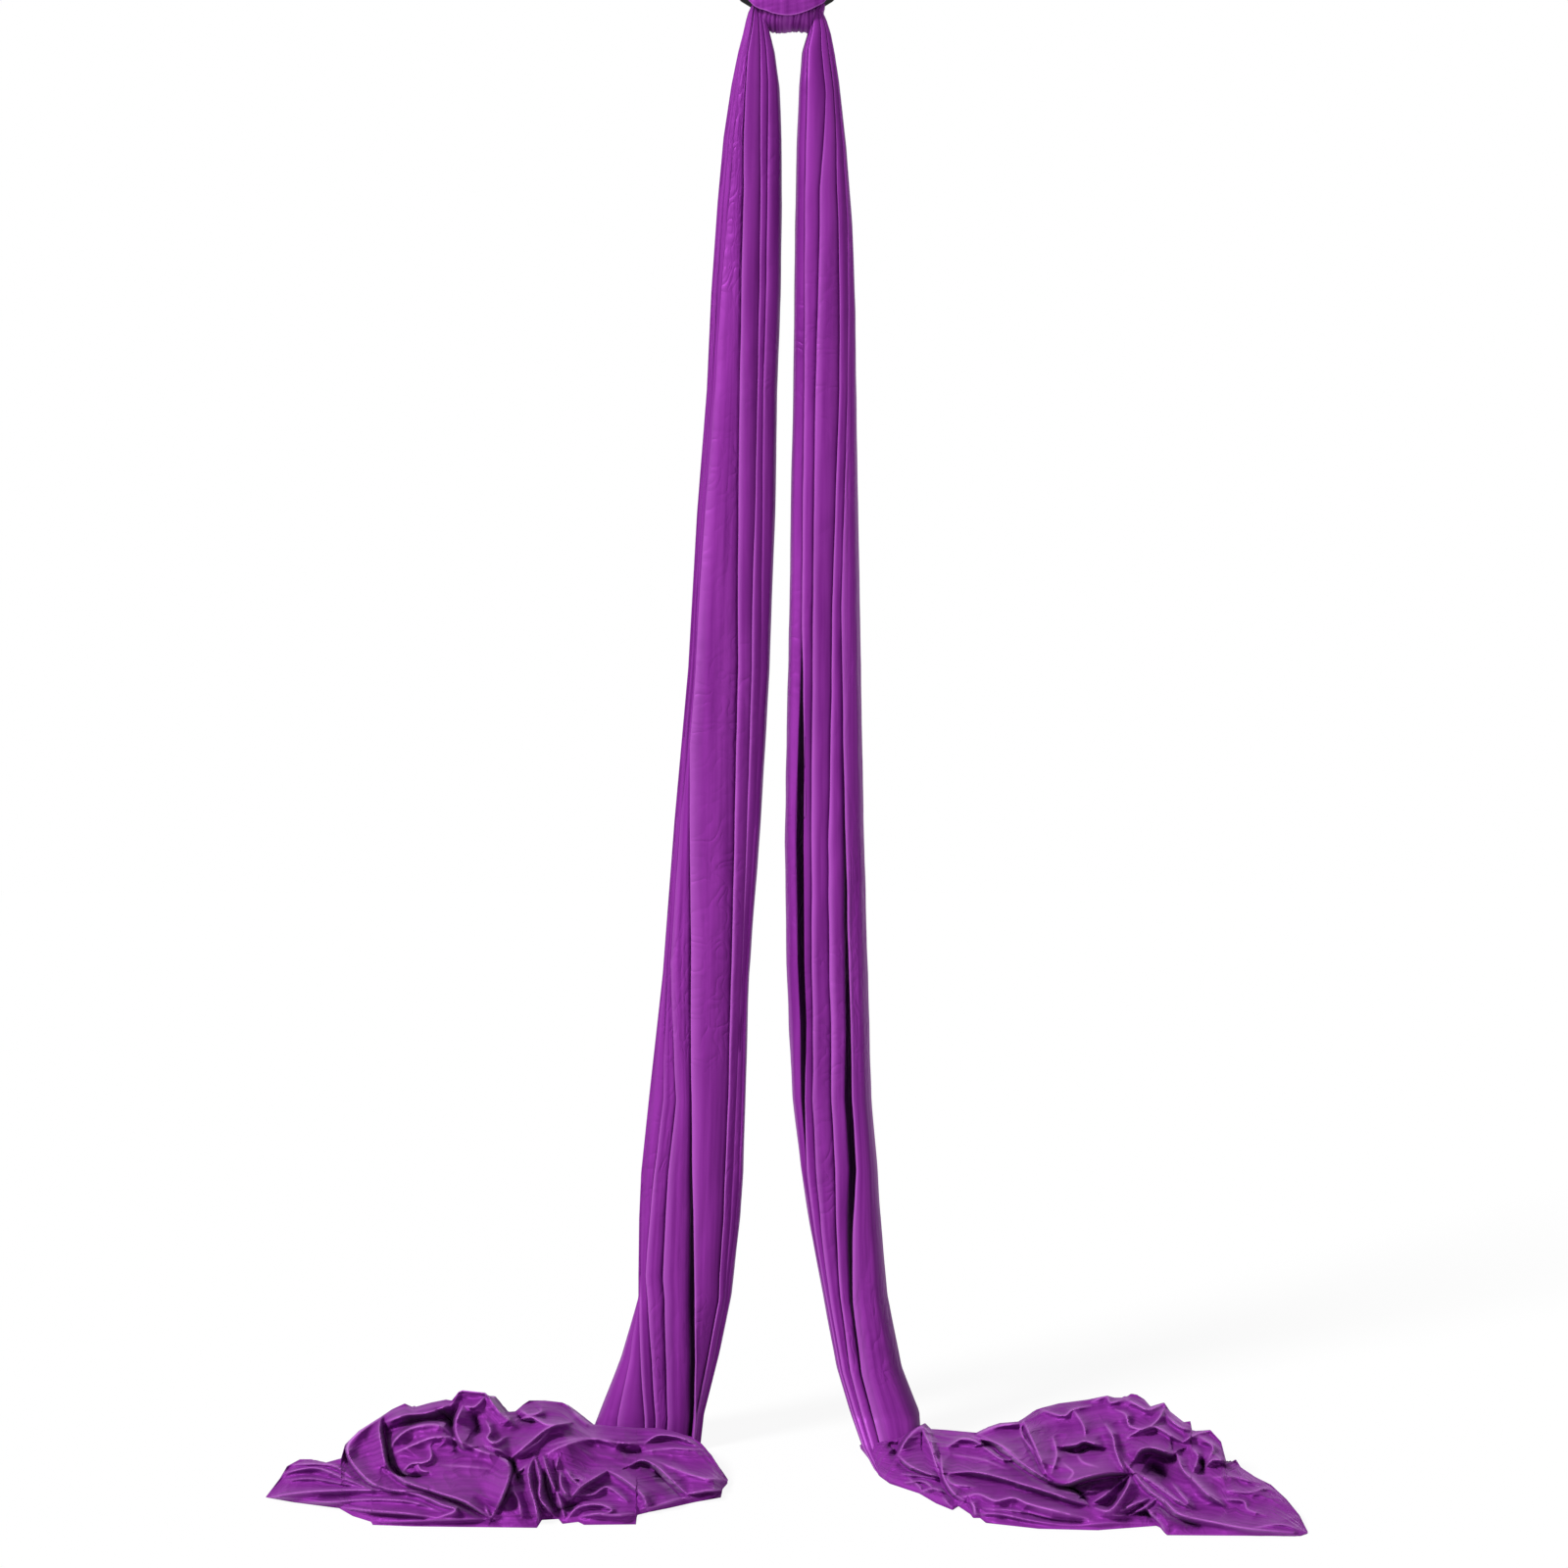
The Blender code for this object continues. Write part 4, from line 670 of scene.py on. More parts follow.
RIGHT_FOLDS = [
    (12, 30, 12, 505, 405, 600, 400, 700, 420, 800, 450, 900, 480, 1000, 515, 1075, 536),
    (6, 14, 12, 505, 405, 500, 430, 530, 450, 610, 460),
    (10, 22, 26, 550, 502, 620, 488, 690, 515, 760, 503, 830, 530, 950, 560, 1060, 588),
    (6, 20, 8, 600, 572, 700, 568, 850, 598, 1000, 614, 1150, 604, 1300, 606),
    (5, 10, 8, 640, 545, 800, 560, 940, 590, 1080, 596),
    (8, 40, 6, 590, 515, 604, 540, 612, 580),
    (9, 10, 14, 500, 297, 560, 266, 620, 282, 660, 312, 720, 350, 790, 346),
    (9, 12, 12, 590, 258, 680, 280, 740, 310, 785, 350),
    (5, 8, 8, 600, 300, 640, 290, 700, 325),
    (14, 60, 8, 800, 195, 830, 260, 870, 350, 890, 402),
    (8, 10, 10, 802, 190, 792, 235, 820, 285, 860, 340, 880, 388),
    (10, 18, 30, 620, 246, 700, 215, 795, 205),
    (16, 65, 8, 620, 250, 700, 290, 800, 370, 900, 432, 960, 450, 1050, 420, 1150, 402, 1222, 405),
    (10, 20, 8, 955, 298, 1010, 290, 1050, 278, 1120, 300),
    (6, 10, 10, 960, 315, 1000, 330, 1030, 325),
    (12, 12, 20, 1130, 210, 1160, 260, 1170, 310, 1192, 370, 1222, 412),
    (6, 20, 20, 1000, 150, 1040, 210, 1050, 262),
    (8, 24, 24, 920, 260, 935, 330, 915, 402),
    (6, 16, 16, 960, 365, 1000, 400, 980, 432),
    (6, 12, 12, 1010, 320, 1040, 360, 1100, 380),
    (6, 12, 14, 870, 150, 960, 175, 1000, 150, 1070, 135),
    (6, 10, 10, 1075, 118, 1132, 97, 1152, 122, 1208, 106),
    (8, 10, 16, 1212, 108, 1250, 128, 1300, 150, 1365, 125),
    (8, 14, 14, 1170, 150, 1210, 170, 1230, 218, 1290, 226, 1340, 190, 1370, 132),
    (8, 16, 16, 1215, 262, 1270, 232, 1330, 220, 1400, 260, 1440, 280),
    (7, 12, 12, 1380, 180, 1420, 215, 1470, 235),
    (7, 12, 12, 1440, 280, 1490, 250, 1545, 235),
    (12, 40, 10, 1245, 350, 1270, 312, 1320, 304, 1390, 326, 1412, 320),
    (12, 14, 20, 1412, 320, 1440, 390, 1490, 440, 1540, 490, 1600, 532),
    (-14, 42, 42, 1290, 365, 1340, 400, 1390, 430),
    (12, 20, 12, 1180, 325, 1240, 400, 1300, 470, 1370, 520, 1430, 570, 1560, 600, 1700, 626, 1880, 642),
    (10, 10, 16, 1250, 398, 1330, 450, 1400, 502, 1470, 546),
    (8, 8, 12, 1395, 445, 1440, 500, 1482, 542),
    (10, 12, 12, 1230, 408, 1190, 440, 1130, 490, 1080, 522),
    (12, 24, 8, 1232, 410, 1212, 470, 1150, 552, 1082, 542),
    (5, 8, 8, 960, 478, 1020, 492, 1062, 500),
    (5, 8, 8, 1000, 455, 1050, 478, 1100, 475),
    (5, 8, 8, 1010, 510, 1040, 490, 1075, 462),
    (10, 12, 10, 1160, 572, 1220, 572, 1290, 540, 1340, 502),
    (8, 10, 10, 1190, 556, 1240, 530, 1310, 505),
    (12, 65, 6, 1288, 540, 1345, 598, 1375, 650),
    (5, 20, 20, 1590, 508, 1680, 516, 1700, 550, 1770, 572),
    (5, 20, 20, 1600, 470, 1700, 482, 1790, 458),
    (5, 26, 26, 1560, 420, 1650, 420, 1740, 450),
    (8, 20, 10, 1530, 382, 1560, 352, 1612, 358, 1648, 352),
    (6, 16, 16, 1500, 252, 1560, 300, 1540, 350),
    (7, 14, 14, 1470, 300, 1500, 340, 1480, 400),
    (5, 14, 10, 1700, 628, 1830, 610, 1930, 640),
    (10, 8, 40, 298, 332, 340, 262, 390, 220, 425, 245),
    (8, 14, 14, 395, 222, 430, 300, 452, 370, 472, 420),
    (7, 10, 12, 425, 250, 445, 320, 475, 395),
    (9, 30, 8, 300, 332, 340, 370, 400, 400, 472, 422),
    (6, 6, 10, 318, 408, 400, 418, 470, 430),
    (6, 6, 9, 330, 442, 400, 438, 445, 470),
    (6, 6, 9, 385, 482, 440, 466, 485, 482),
    (5, 6, 8, 342, 424, 380, 452, 402, 482),
    (8, 40, 8, 470, 335, 482, 420, 520, 482, 562, 512),
    (6, 10, 10, 480, 500, 520, 545, 560, 520),
    (5, 40, 40, 520, 330, 640, 350, 740, 390),
    (-13, 16, 16, 880, 410, 930, 448, 1000, 468, 1040, 500, 1070, 535),
    (-10, 12, 12, 262, 285, 292, 305, 285, 335),
    (-10, 14, 14, 1190, 580, 1240, 565, 1290, 560),
    (-8, 14, 14, 1500, 410, 1520, 380, 1500, 345),
    (-8, 10, 10, 960, 312, 1010, 325, 1060, 305),
    (-8, 10, 10, 618, 298, 660, 300, 735, 352),
    (-8, 14, 14, 1140, 480, 1180, 450, 1200, 425),
    (-8, 14, 14, 1350, 540, 1420, 590, 1500, 615),
    (-7, 12, 12, 800, 560, 900, 590, 1050, 602),
]
SIDES = {
    "left": {
        "edges": LEFT_TAIL_EDGES, "creases": LEFT_CREASES, "tucks": LEFT_TUCKS,
        "mouths": LEFT_MOUTHS, "waves": LEFT_WAVES, "forward": LEFT_FORWARD,
        "top": LEFT_PILE_TOP, "front": LEFT_PILE_FRONT, "folds": LEFT_FOLDS,
        "enlarged": (260, 1400, 0.25), "seed": 3.0, "nodes": ("silk_left_tail", "silk_left_pile"),
    },
    "right": {
        "edges": RIGHT_TAIL_EDGES, "creases": RIGHT_CREASES, "tucks": RIGHT_TUCKS,
        "mouths": RIGHT_MOUTHS, "waves": RIGHT_WAVES, "forward": RIGHT_FORWARD,
        "top": RIGHT_PILE_TOP, "front": RIGHT_PILE_FRONT, "folds": RIGHT_FOLDS,
        "enlarged": (840, 1400, 0.255), "seed": 11.0, "nodes": ("silk_right_tail", "silk_right_pile"),
    },
}


def fold_relief(columns, rows, side):
    """How far the folds stand out at these photograph places, in metres along the line of sight, and their
    painted light: painted highlights along their crests and painted shade in the creases beside and between
    them."""
    left, top, scale = side["enlarged"]
    x = (columns - left) / scale
    y = (rows - top) / scale
    raised = np.zeros_like(x)
    sunk = np.zeros_like(x)
    painted_light = np.zeros_like(x)
    shade = np.zeros_like(x)
    for crest, left_reach, right_reach, *way in side["folds"]:
        way = np.reshape(way, (-1, 2)).astype(float)
        at = np.linspace(0, len(way) - 1, (len(way) - 1) * 6 + 1)
        way = spline(way, at) if len(way) > 2 else way
        runs = run_along(way)
        narrow, wide = sorted((left_reach, right_reach))
        low, high = way.min(axis=0) - 5 * wide, way.max(axis=0) + 5 * wide
        near = (x > low[0]) & (x < high[0]) & (y > low[1]) & (y < high[1])
        px, py = x[near], y[near]
        best = np.full(px.shape, 1e9)
        turn = np.zeros_like(px)
        run = np.zeros_like(px)
        for (ax, ay), (bx, by), start in zip(way[:-1], way[1:], runs[:-1]):
            dx, dy = bx - ax, by - ay
            long = math.hypot(dx, dy)
            share = np.clip(((px - ax) * dx + (py - ay) * dy) / long ** 2, 0, 1)
            away = np.hypot(px - ax - share * dx, py - ay - share * dy)
            closer = away < best
            best = np.where(closer, away, best)
            turn = np.where(closer, (px - ax) * dy - (py - ay) * dx, turn)
            run = np.where(closer, start + share * long, run)
        reach = np.where(turn > 0, left_reach, right_reach)
        share = run / runs[-1]
        ends = ENDS_SHARE + (1 - ENDS_SHARE) * np.clip(np.minimum(share, 1 - share) / 0.22, 0, 1)
        height = crest * 0.001 * ends * np.exp(-(np.sqrt(best ** 2 + 1.5) - 1.2) / reach)
        if crest > 0:
            # Painted highlight along the crest
            line = PAINTED_HIGHLIGHT_LINE * min(1.0, crest / 8) * ends * np.exp(-(best / PAINTED_LINE_WIDTH) ** 2)
            painted_light[near] = np.maximum(painted_light[near], line)
            raised[near] += height ** CREST_POWER
            if wide > GROOVE_RATIO * narrow:
                under = np.exp(-(((best - GROOVE_AWAY * narrow) / (GROOVE_AWAY * 0.7 * narrow)) ** 2))
                sunk[near] -= np.where(reach == narrow, GROOVE_SHARE * crest * 0.001 * ends * under, 0)
                # Painted shade just beyond the steep, narrow side of the fold
                under = np.exp(-(((best - 2.2 * PAINTED_LINE_WIDTH) / (1.2 * PAINTED_LINE_WIDTH)) ** 2))
                line = PAINTED_SHADE_LINE * min(1.0, crest / 10) * ends * under
                shade[near] = np.maximum(shade[near], np.where(reach == narrow, line, 0))
        else:
            sunk[near] += height
            # Painted shade along a groove
            line = 0.06 * -crest * ends * np.exp(-(best / (0.6 * reach)) ** 2)
            shade[near] = np.maximum(shade[near], line)
    return (raised ** (1 / CREST_POWER) + sunk) / LOOK_UP, painted_light - shade


def crumple(x, y, seed):
    """Ridged waves of loose cloth lying on the floor."""
    bend_x = noise.noise(Vector((x * 5 + 9.3, y * 5, seed)))
    bend_y = noise.noise(Vector((x * 5, y * 5 + 9.3, seed)))
    broad = abs(noise.noise(Vector((x * 9 + bend_x, y * 9 + bend_y, seed))))
    small = abs(noise.noise(Vector((x * 24 + bend_y * 2, y * 24 + bend_x * 2, seed + 7))))
    return BROAD_CRUMPLE * (1 - 2.2 * broad), SMALL_CRUMPLE * (1 - 2.2 * small)


def sight_point(column, row, y):
    """The place on the line of sight through a photograph pixel at this depth."""
    share = (CAMERA_BACK + y) / CAMERA_BACK
    x = CAMERA_PLACE[0] + (column - PICTURE_MIDDLE) * PIXEL * share
    return x, CAMERA_PLACE[2] - (row - PICTURE_MIDDLE) * PIXEL * share


def sight_depth(row, height):
    """The depth at which the line of sight through a row is at this height over the floor."""
    return (CAMERA_PLACE[2] - FLOOR_Z - height) / ((row - PICTURE_MIDDLE) * PIXEL) * CAMERA_BACK - CAMERA_BACK


def evened(line):
    """A row of numbers, each evened out with its neighbours."""
    window = np.hanning(EVENED_COLUMNS + 2)[1:-1]
    half = EVENED_COLUMNS // 2
    return np.convolve(np.pad(line, half, mode="edge"), window / window.sum(), "valid")


def pile_grid(side):
    """The cloth on the floor: up from the front edge to the upper outline, then down at the back, with
    painted highlights along its fold crests and painted shade in its creases.
    """
    top = np.array(side["top"])
    front = np.array(side["front"])
    columns = np.arange(top[0, 0], top[-1, 0] + 0.01, PILE_COLUMN_STEP)
    order = np.argsort(top[:, 0], kind="stable")
    top_rows = np.interp(columns, top[order, 0], top[order, 1])
    heights = np.interp(columns, top[order, 0], top[order, 2]) * 0.001
    front_rows = np.maximum(np.interp(columns, front[:, 0], front[:, 1]), top_rows + 1.0)
    front_depth = sight_depth(front_rows, LEAST_HEIGHT)
    top_depth = np.maximum(sight_depth(top_rows, heights), front_depth + 0.004)
    share = np.linspace(0, 1, PILE_ROWS)[:, None]
    rows = front_rows + (top_rows - front_rows) * share
    calm_front, calm_top, front_depth, top_depth = (
        evened(line) for line in (front_rows, top_rows, front_depth, top_depth)
    )
    way = np.clip((rows - calm_front) / (calm_top - calm_front), 0, 1)
    rise = WALL_SHARE * way ** WALL_POWER + (1 - WALL_SHARE) * (1 - np.sqrt(1 - way ** 2))
    depth = np.minimum(front_depth + (top_depth - front_depth) * rise, sight_depth(rows, LEAST_HEIGHT))
    wide = np.broadcast_to(columns, rows.shape)
    # lines is the folds' painted light: painted highlights and painted shade
    relief, lines = fold_relief(wide, rows, side)
    ends = np.minimum(np.arange(len(columns)), np.arange(len(columns))[::-1]) * PILE_COLUMN_STEP
    calm = np.clip(share * 9, 0, 1) * np.clip(ends / 14, 0.1, 1) * (1 + UPPER_RELIEF * way)
    x, _ = sight_point(wide, rows, depth)
    for j in range(PILE_ROWS):
        waves = [crumple(a, b, side["seed"]) for a, b in zip(x[j], depth[j])]
        relief[j] += [1.1 * broad + 1.3 * small for broad, small in waves]
        mean = evened(relief[j])
        near_top = max(0.0, (share[j, 0] - CALM_FROM) / (1 - CALM_FROM))
        relief[j] = mean + (relief[j] - mean) * (1 - CREST_CALM * near_top ** 1.5)
    depth = depth - relief * calm
    room = NEAREST_Y + NEAREST_EASE
    depth = np.where(depth < room, NEAREST_Y + NEAREST_EASE * np.exp((depth - room) / NEAREST_EASE), depth)
    x, z = sight_point(wide, rows, depth)
    shown = np.stack([x, depth, z], -1)
    crest = shown[-1]
    back_share = np.linspace(0, 1, PILE_BACK_ROWS + 1)[1:, None]
    rise = np.maximum(crest[:, 2] - FLOOR_Z, LEAST_HEIGHT)
    foot = crest[:, 1] + np.minimum(BACK_REACH * (0.35 + 12 * heights), rise / BACK_SLOPE)
    reach = np.clip(evened(evened(foot)) - crest[:, 1], 0.004, rise / BACK_LEAST_SLOPE)
    back = np.zeros((PILE_BACK_ROWS, len(columns), 3))
    back[..., 0] = crest[:, 0]
    back[..., 1] = crest[:, 1] + reach * back_share
    back[..., 2] = FLOOR_Z + np.minimum(rise * (1 - back_share ** 3) ** 0.45,
                                        rise - BACK_LEAST_SLOPE * reach * back_share)
    for j in range(PILE_BACK_ROWS):
        fade = math.sin(math.pi * min(1.0, (j + 1) / PILE_BACK_ROWS))
        for i in range(len(columns)):
            broad, small = crumple(back[j, i, 0], back[j, i, 1], side["seed"])
            sunk = 0.8 * (BROAD_CRUMPLE - broad) + SMALL_CRUMPLE - small
            back[j, i, 2] -= fade * min(rise[i] * 0.25, sunk)
    grid = np.concatenate([shown, back])
    grid[..., 2] = np.maximum(grid[..., 2], FLOOR_Z + LEAST_HEIGHT)
    # The painted light fades out at the front edge and is none at the back
    return grid, np.concatenate([lines * np.clip(share * 9, 0, 1), np.zeros(back.shape[:2])])


def grid_lengths(grid, axis):
    """Mean lengths along a grid."""
    steps = np.linalg.norm(np.diff(grid, axis=axis), axis=2).mean(axis=1 - axis)
    return np.concatenate([[0.0], np.cumsum(steps)])


def make_silks():
    """Both tails with their piles, each as one cloth."""
    made = {}
    for name, side in SIDES.items():
        rows = np.array([entry[0] for entry in side["edges"]])
        count = int((rows[-1] - rows[0]) * PIXEL / TAIL_ROW_STEP)
        rows = np.linspace(rows[0], rows[-1], count)
        hanging, _ = side_section(side, photo_row(FLOOR_Z + FOOT_START), TAIL_DEPTH)
        places = np.linspace(0, len(hanging) - 1, (len(hanging) - 1) * COLUMN_REFINE + 1)
        even, path = even_places(hanging, PATH_PLACES)
        across = np.interp(places, even, np.linspace(0, path, PATH_PLACES))
        tail, tail_painted_light = tail_rows(side, places, rows)
        along = grid_lengths(tail, 0)
        waves = np.array([read_table(side["waves"], row)[0] for row in rows])
        tail = add_wrinkles(tail, across, along, side["seed"], waves)
        tail[..., 2] = np.maximum(tail[..., 2], FLOOR_Z + LEAST_HEIGHT)
        pile, pile_painted_light = pile_grid(side)
        pile_across = along[-1] + grid_lengths(pile, 0)
        # Each grid goes with its painted light
        made[name] = sheet_object(
            f"silk_{name}", [(tail, across[None, :], along[:, None], tail_painted_light),
                             (pile, pile_across[:, None], grid_lengths(pile, 1)[None, :], pile_painted_light)],
        )
        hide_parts(*side["nodes"])
    return made


silks = make_silks()

# Knot: the roll under the ring, the cloth in front of the ring and the cloth round its neck

ROLL_COLUMNS = (774.0, 832.0)
ROLL_BOTTOM = [
    (774, 27), (778, 28.5), (783, 31), (788, 32.6), (793, 33.8), (800, 33), (807, 32.4), (813, 32.2),
    (818, 32.8), (822, 32.4), (825, 35.5), (828, 36.5), (832, 34),
]
ROLL_TOP_ROW = 7.0
ROLL_DEPTH = 0.031
# Gathers: column at the top, column at the bottom, depth in millimetres and reach in pixels
ROLL_GATHERS = [
    (776, 779.5, 2.4, 1), (781.5, 785, 2.2, 1), (785.5, 788.5, 1.4, 0.7), (790.5, 792, 2.2, 0.9),
    (793.5, 796, 1.3, 0.7), (797.5, 799, 1.2, 0.8), (804, 804.5, 1, 1), (808.5, 812, 2, 0.9),
    (811, 815.5, 1.4, 0.7), (815, 819.5, 2.4, 1), (820, 822.5, 1.5, 0.8), (826, 824.5, 2.6, 1.1),
    (829.5, 828, 1.8, 0.8),
]
# The rim of the cloth in front of the ring: columns with rows
FRONT_RIM = [
    (763.5, 0), (767, 3.6), (770, 6.4), (775, 8.8), (781, 10.6), (788, 13.2), (795, 14.8), (803, 15.6),
    (811, 14.9), (820, 12.4), (828, 9.2), (834, 6.2), (840, 3), (843, 0),
]
FRONT_TOP_Z = -0.3195
FRONT_TOP_HALF = 0.0215
FRONT_TOP_REACH = 0.0185
FRONT_BULGE = 0.0355
FRONT_SIDE = 0.017
CURL = 0.12
CURL_ROWS = 11
RIM_FIRST = 8
RIM_LAST = 14
HIDDEN_ROWS = 6
# Strength of the painted highlight along the rim and of the painted shade under it
RIM_PAINTED_LIGHT = 0.5
FRONT_FOLDS = [
    (1.3, 3, 7, 782, 11.5, 792, 9.5, 806, 9, 824, 10.5), (1.6, 4, 3, 800, -1, 810, 2.5, 826, 4),
    (1.2, 3, 5, 770, 1, 786, 5, 800, 6), (1.4, 3, 4, 806, -4, 820, 0, 836, 1),
    (1, 4, 4, 776, -6, 790, -2, 812, 6), (1.2, 3, 5, 812, 13.5, 822, 8, 834, 3),
]
NECK_PLACE = (0.0005, 0.0, -0.3181)
NECK_REACH = (0.025705, 0.020855)
NECK_HALF_HEIGHT = 0.0102


def cusp(distance, reach):
    return math.exp(-(math.sqrt(distance * distance + 0.05) - 0.22) / reach)


def roll_grid():
    """A gathered tube round the lower bar of the ring, open at the top, with a painted highlight on it and
    painted shade in its gathers.
    """
    low, high = ROLL_COLUMNS
    columns = np.linspace(low, high, 240)
    turns = np.linspace(-0.62, 1.50, 64) * math.pi
    grid = np.zeros((len(turns), len(columns), 3))
    crest = np.zeros(grid.shape[:2])
    for i, column in enumerate(columns):
        bottom = read_table(ROLL_BOTTOM, column)[0]
        middle_row = (ROLL_TOP_ROW + bottom) / 2
        drop = (bottom - middle_row) * PIXEL
        end = 1 - 0.45 * abs((column - (low + high) / 2) / ((high - low) / 2)) ** 6
        for j, turn in enumerate(turns):
            pinch = 0.0
            down = 0.5 * (1 - math.cos(turn - math.pi * 0.5))
            for top, base, deep, reach in ROLL_GATHERS:
                place = top + (base - top) * down
                pinch = max(pinch, deep * 1.5 * cusp(column - place, reach * 1.3))
            pinch += 0.9 * noise.noise(Vector((column * 0.22, turn * 1.3, 4.0)))
            # Painted light: a painted highlight on the roll, with painted shade where the gathers pinch
            crest[j, i] = 0.3 - 0.17 * pinch
            radius_y = ROLL_DEPTH * end - 0.001 * pinch
            radius_z = drop - 0.001 * pinch * 0.7
            grid[j, i] = (
                photo_x(column), -radius_y * math.cos(turn), photo_z(middle_row) - radius_z * math.sin(turn),
            )
    return grid, crest


def front_grid():
    """The cloth in front of the ring, with its lower rim turned in, a painted highlight along the rim and
    painted shade on the turned-in rows.
    """
    rim = np.array(FRONT_RIM)
    shares = np.linspace(0, 1, 160)
    run = run_along(rim)
    rim_at = spline(rim, np.interp(shares * run[-1], run, np.arange(len(rim))))
    ups = np.concatenate([np.linspace(-CURL, 0, CURL_ROWS + 1)[:-1], np.linspace(0, 1, 70) ** 1.25])
    grid = np.zeros((len(ups), len(shares), 3))
    for i, share in enumerate(shares):
        rim_x, rim_z = photo_x(rim_at[i, 0]), photo_z(rim_at[i, 1])
        way = 2 * share - 1
        top_x = FRONT_TOP_HALF * way
        round_front = math.sqrt(max(0.0, 1 - way ** 2))
        for j, up in enumerate(ups):
            rise = max(0.0, up)
            x = rim_x + (top_x - rim_x) * rise ** 1.6 + 0.004 * way * math.sin(math.pi * min(1.0, rise * 1.3))
            z = rim_z + (FRONT_TOP_Z - rim_z) * rise
            belly = 1 + 0.10 * math.sin(math.pi * min(1.0, rise * 1.5)) * (1 - abs(way))
            y = -(FRONT_SIDE + (FRONT_BULGE - FRONT_SIDE) * round_front ** 0.8) * belly
            y += (-0.002 - FRONT_TOP_REACH * math.sqrt(round_front) - y) * rise ** 2.2
            if up < 0:
                curl = up / CURL
                y += 0.0032 * (1 - math.cos(math.pi * curl))
                z += 0.0012 * math.sin(math.pi * curl) + 0.004 * curl * curl
            nearer = (CAMERA_BACK + y) / CAMERA_BACK
            grid[j, i] = (x * nearer, y, CAMERA_PLACE[2] + (z - CAMERA_PLACE[2]) * nearer)
            if up >= 0:
                column, row = KNOT_COLUMN + x / PIXEL, photo_row(z)
                wave = noise.noise(Vector((column * 0.10 + row * 0.06, row * 0.22, 2.0)))
                grid[j, i, 1] -= 0.0008 * (wave + 0.3)
    columns = KNOT_COLUMN + grid[..., 0] / PIXEL
    rows = photo_row(grid[..., 2])
    relief, _ = fold_relief(columns, rows, {"enlarged": (0, 0, 1.0), "folds": FRONT_FOLDS})
    relief[:CURL_ROWS] = relief[CURL_ROWS]
    grid[..., 1] -= relief * LOOK_UP
    # Painted highlight along the rim, and painted shade on the rows turned in under it
    crest = np.zeros(grid.shape[:2])
    crest[RIM_FIRST:RIM_LAST] = RIM_PAINTED_LIGHT
    crest[:HIDDEN_ROWS] = -RIM_PAINTED_LIGHT
    return grid, crest


def neck_grid():
    """A band of gathered cloth round the neck of the figure eight."""
    turns = np.linspace(0, 2 * math.pi, 145)
    ups = np.linspace(-1, 1, 33)
    grid = np.zeros((len(ups), len(turns), 3))
    for j, up in enumerate(ups):
        for i, turn in enumerate(turns):
            around = Vector((math.cos(turn) * 2, math.sin(turn) * 2, up * 5))
            swell = 1 - 0.16 * up ** 4 + 0.05 * (1 - 2 * abs(noise.noise(around)))
            swell += 0.05 * math.sin(up * 9 + 1.5 * math.sin(turn)) - 0.02
            grid[j, i] = (
                NECK_PLACE[0] + NECK_REACH[0] * swell * math.cos(turn),
                NECK_PLACE[1] + NECK_REACH[1] * swell * math.sin(turn),
                NECK_PLACE[2] + NECK_HALF_HEIGHT * up,
            )
    return grid, np.zeros(grid.shape[:2])


# The pieces of the knot with the CAD node that each replaces
KNOT_PARTS = (
    ("silk_roll_cloth", roll_grid(), "silk_knot_roll"),
    ("silk_front_cloth", front_grid(), "silk_front_wrap"),
    ("silk_neck_cloth", neck_grid(), "silk_neck_wrap"),
)
for name, (grid, crest), node_name in KNOT_PARTS:
    part = sheet_object(name, [(grid, grid_lengths(grid, 1)[None, :], grid_lengths(grid, 0)[:, None], crest)])
    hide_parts(node_name)

# Floor, background and lights

FLOOR_REACH = 40.0
FLOOR_WHITE_SHARE = 0.92
WORLD_LIGHT = 0.26


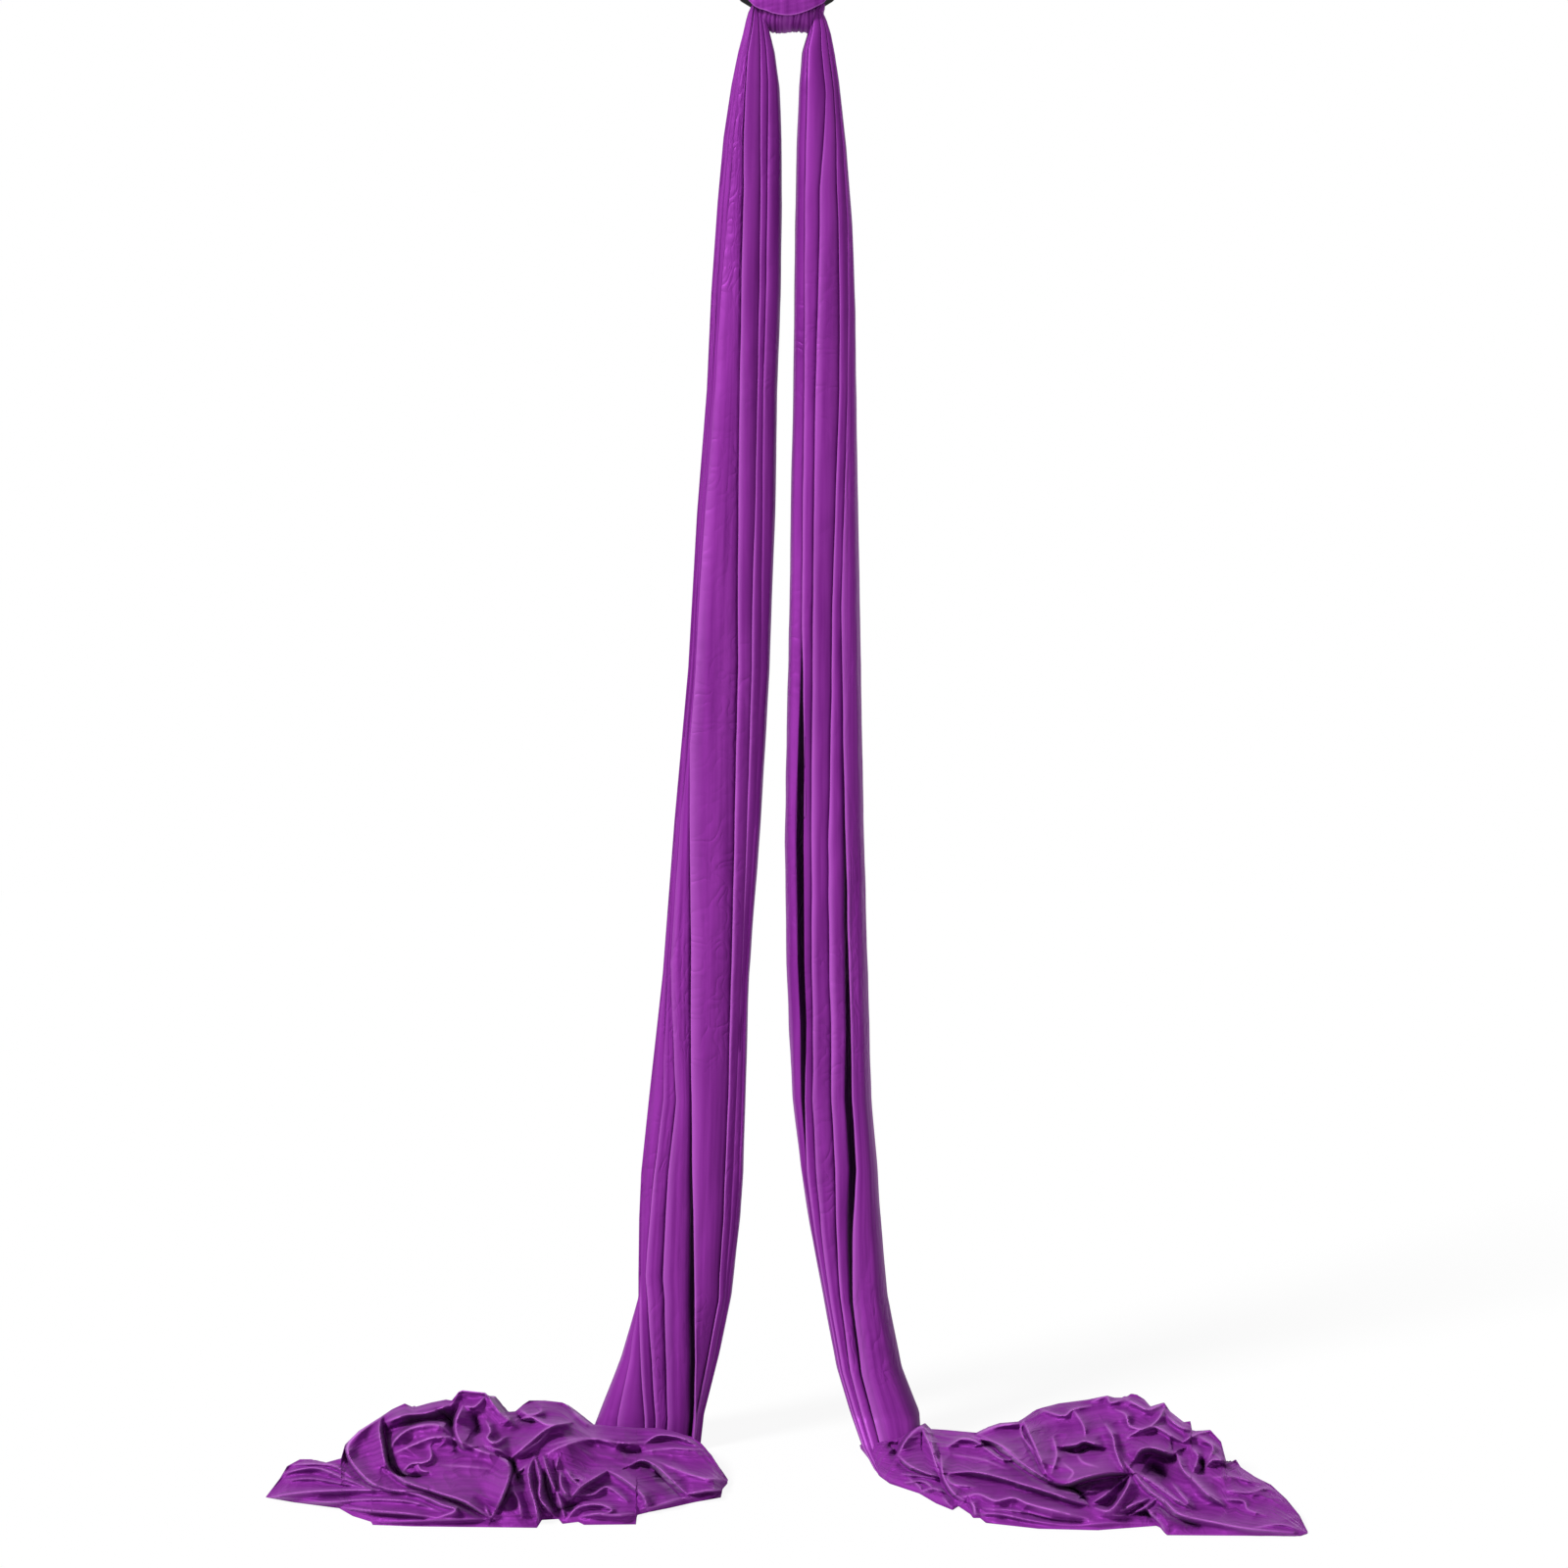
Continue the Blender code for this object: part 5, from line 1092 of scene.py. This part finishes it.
def show_white(tree, plain, white, share, output):
    """Mixes this share of white into a plain shader, for rays that show the background: from the
    camera, mirrored or through glass."""
    rays = tree.nodes.new("ShaderNodeLightPath")
    seen = rays.outputs["Is Camera Ray"]
    for ray in ("Is Glossy Ray", "Is Transmission Ray"):
        both = add_node(tree, "ShaderNodeMath", {0: seen, 1: rays.outputs[ray]}, operation="MAXIMUM")
        seen = both.outputs[0]
    amount = add_node(tree, "ShaderNodeMapRange", {"Value": seen}, To_Max=share).outputs["Result"]
    mixed = add_node(tree, "ShaderNodeMixShader", {"Fac": amount, 1: plain.outputs[0], 2: white.outputs[0]})
    join(tree, tree.nodes[output], {"Surface": mixed.outputs["Shader"]})


bpy.ops.mesh.primitive_plane_add(size=FLOOR_REACH, location=(0, 0, FLOOR_Z))
floor = bpy.context.object
floor.name = "stage_floor"
floor_material, floor_tree, floor_shader = new_material(
    "stage_floor", Base_Color=(0.9, 0.9, 0.9, 1), Roughness=0.9, Specular_IOR_Level=0.1,
)
floor_white = add_node(floor_tree, "ShaderNodeEmission", Strength=1.0)
show_white(floor_tree, floor_shader, floor_white, FLOOR_WHITE_SHARE, "Material Output")
floor.data.materials.append(floor_material)

world = bpy.data.worlds.new("studio")
scene.world = world
world.use_nodes = True
world_tree = world.node_tree
backdrop = world_tree.nodes["Background"]
set_values(backdrop, {"Color": (1, 1, 1, 1), "Strength": WORLD_LIGHT})
white = add_node(world_tree, "ShaderNodeBackground", Color=(1, 1, 1, 1), Strength=1.0)
show_white(world_tree, backdrop, white, 1.0, "World Output")


def add_sun(name, azimuth, elevation, softness, power):
    """A soft sun from this azimuth, 0 from the camera's side and 90 from the right."""
    data = bpy.data.lights.new(name, "SUN")
    data.angle = math.radians(softness)
    data.energy = power
    lamp = add_object(name, data)
    a, e = math.radians(azimuth), math.radians(elevation)
    towards = Vector((-math.sin(a) * math.cos(e), math.cos(a) * math.cos(e), -math.sin(e)))
    lamp.rotation_euler = towards.to_track_quat("-Z", "Y").to_euler()


add_sun("key", -50, 38, 14, 4.2)
add_sun("fill", 20, 14, 40, 0.55)

scene.view_settings.view_transform = "Standard"
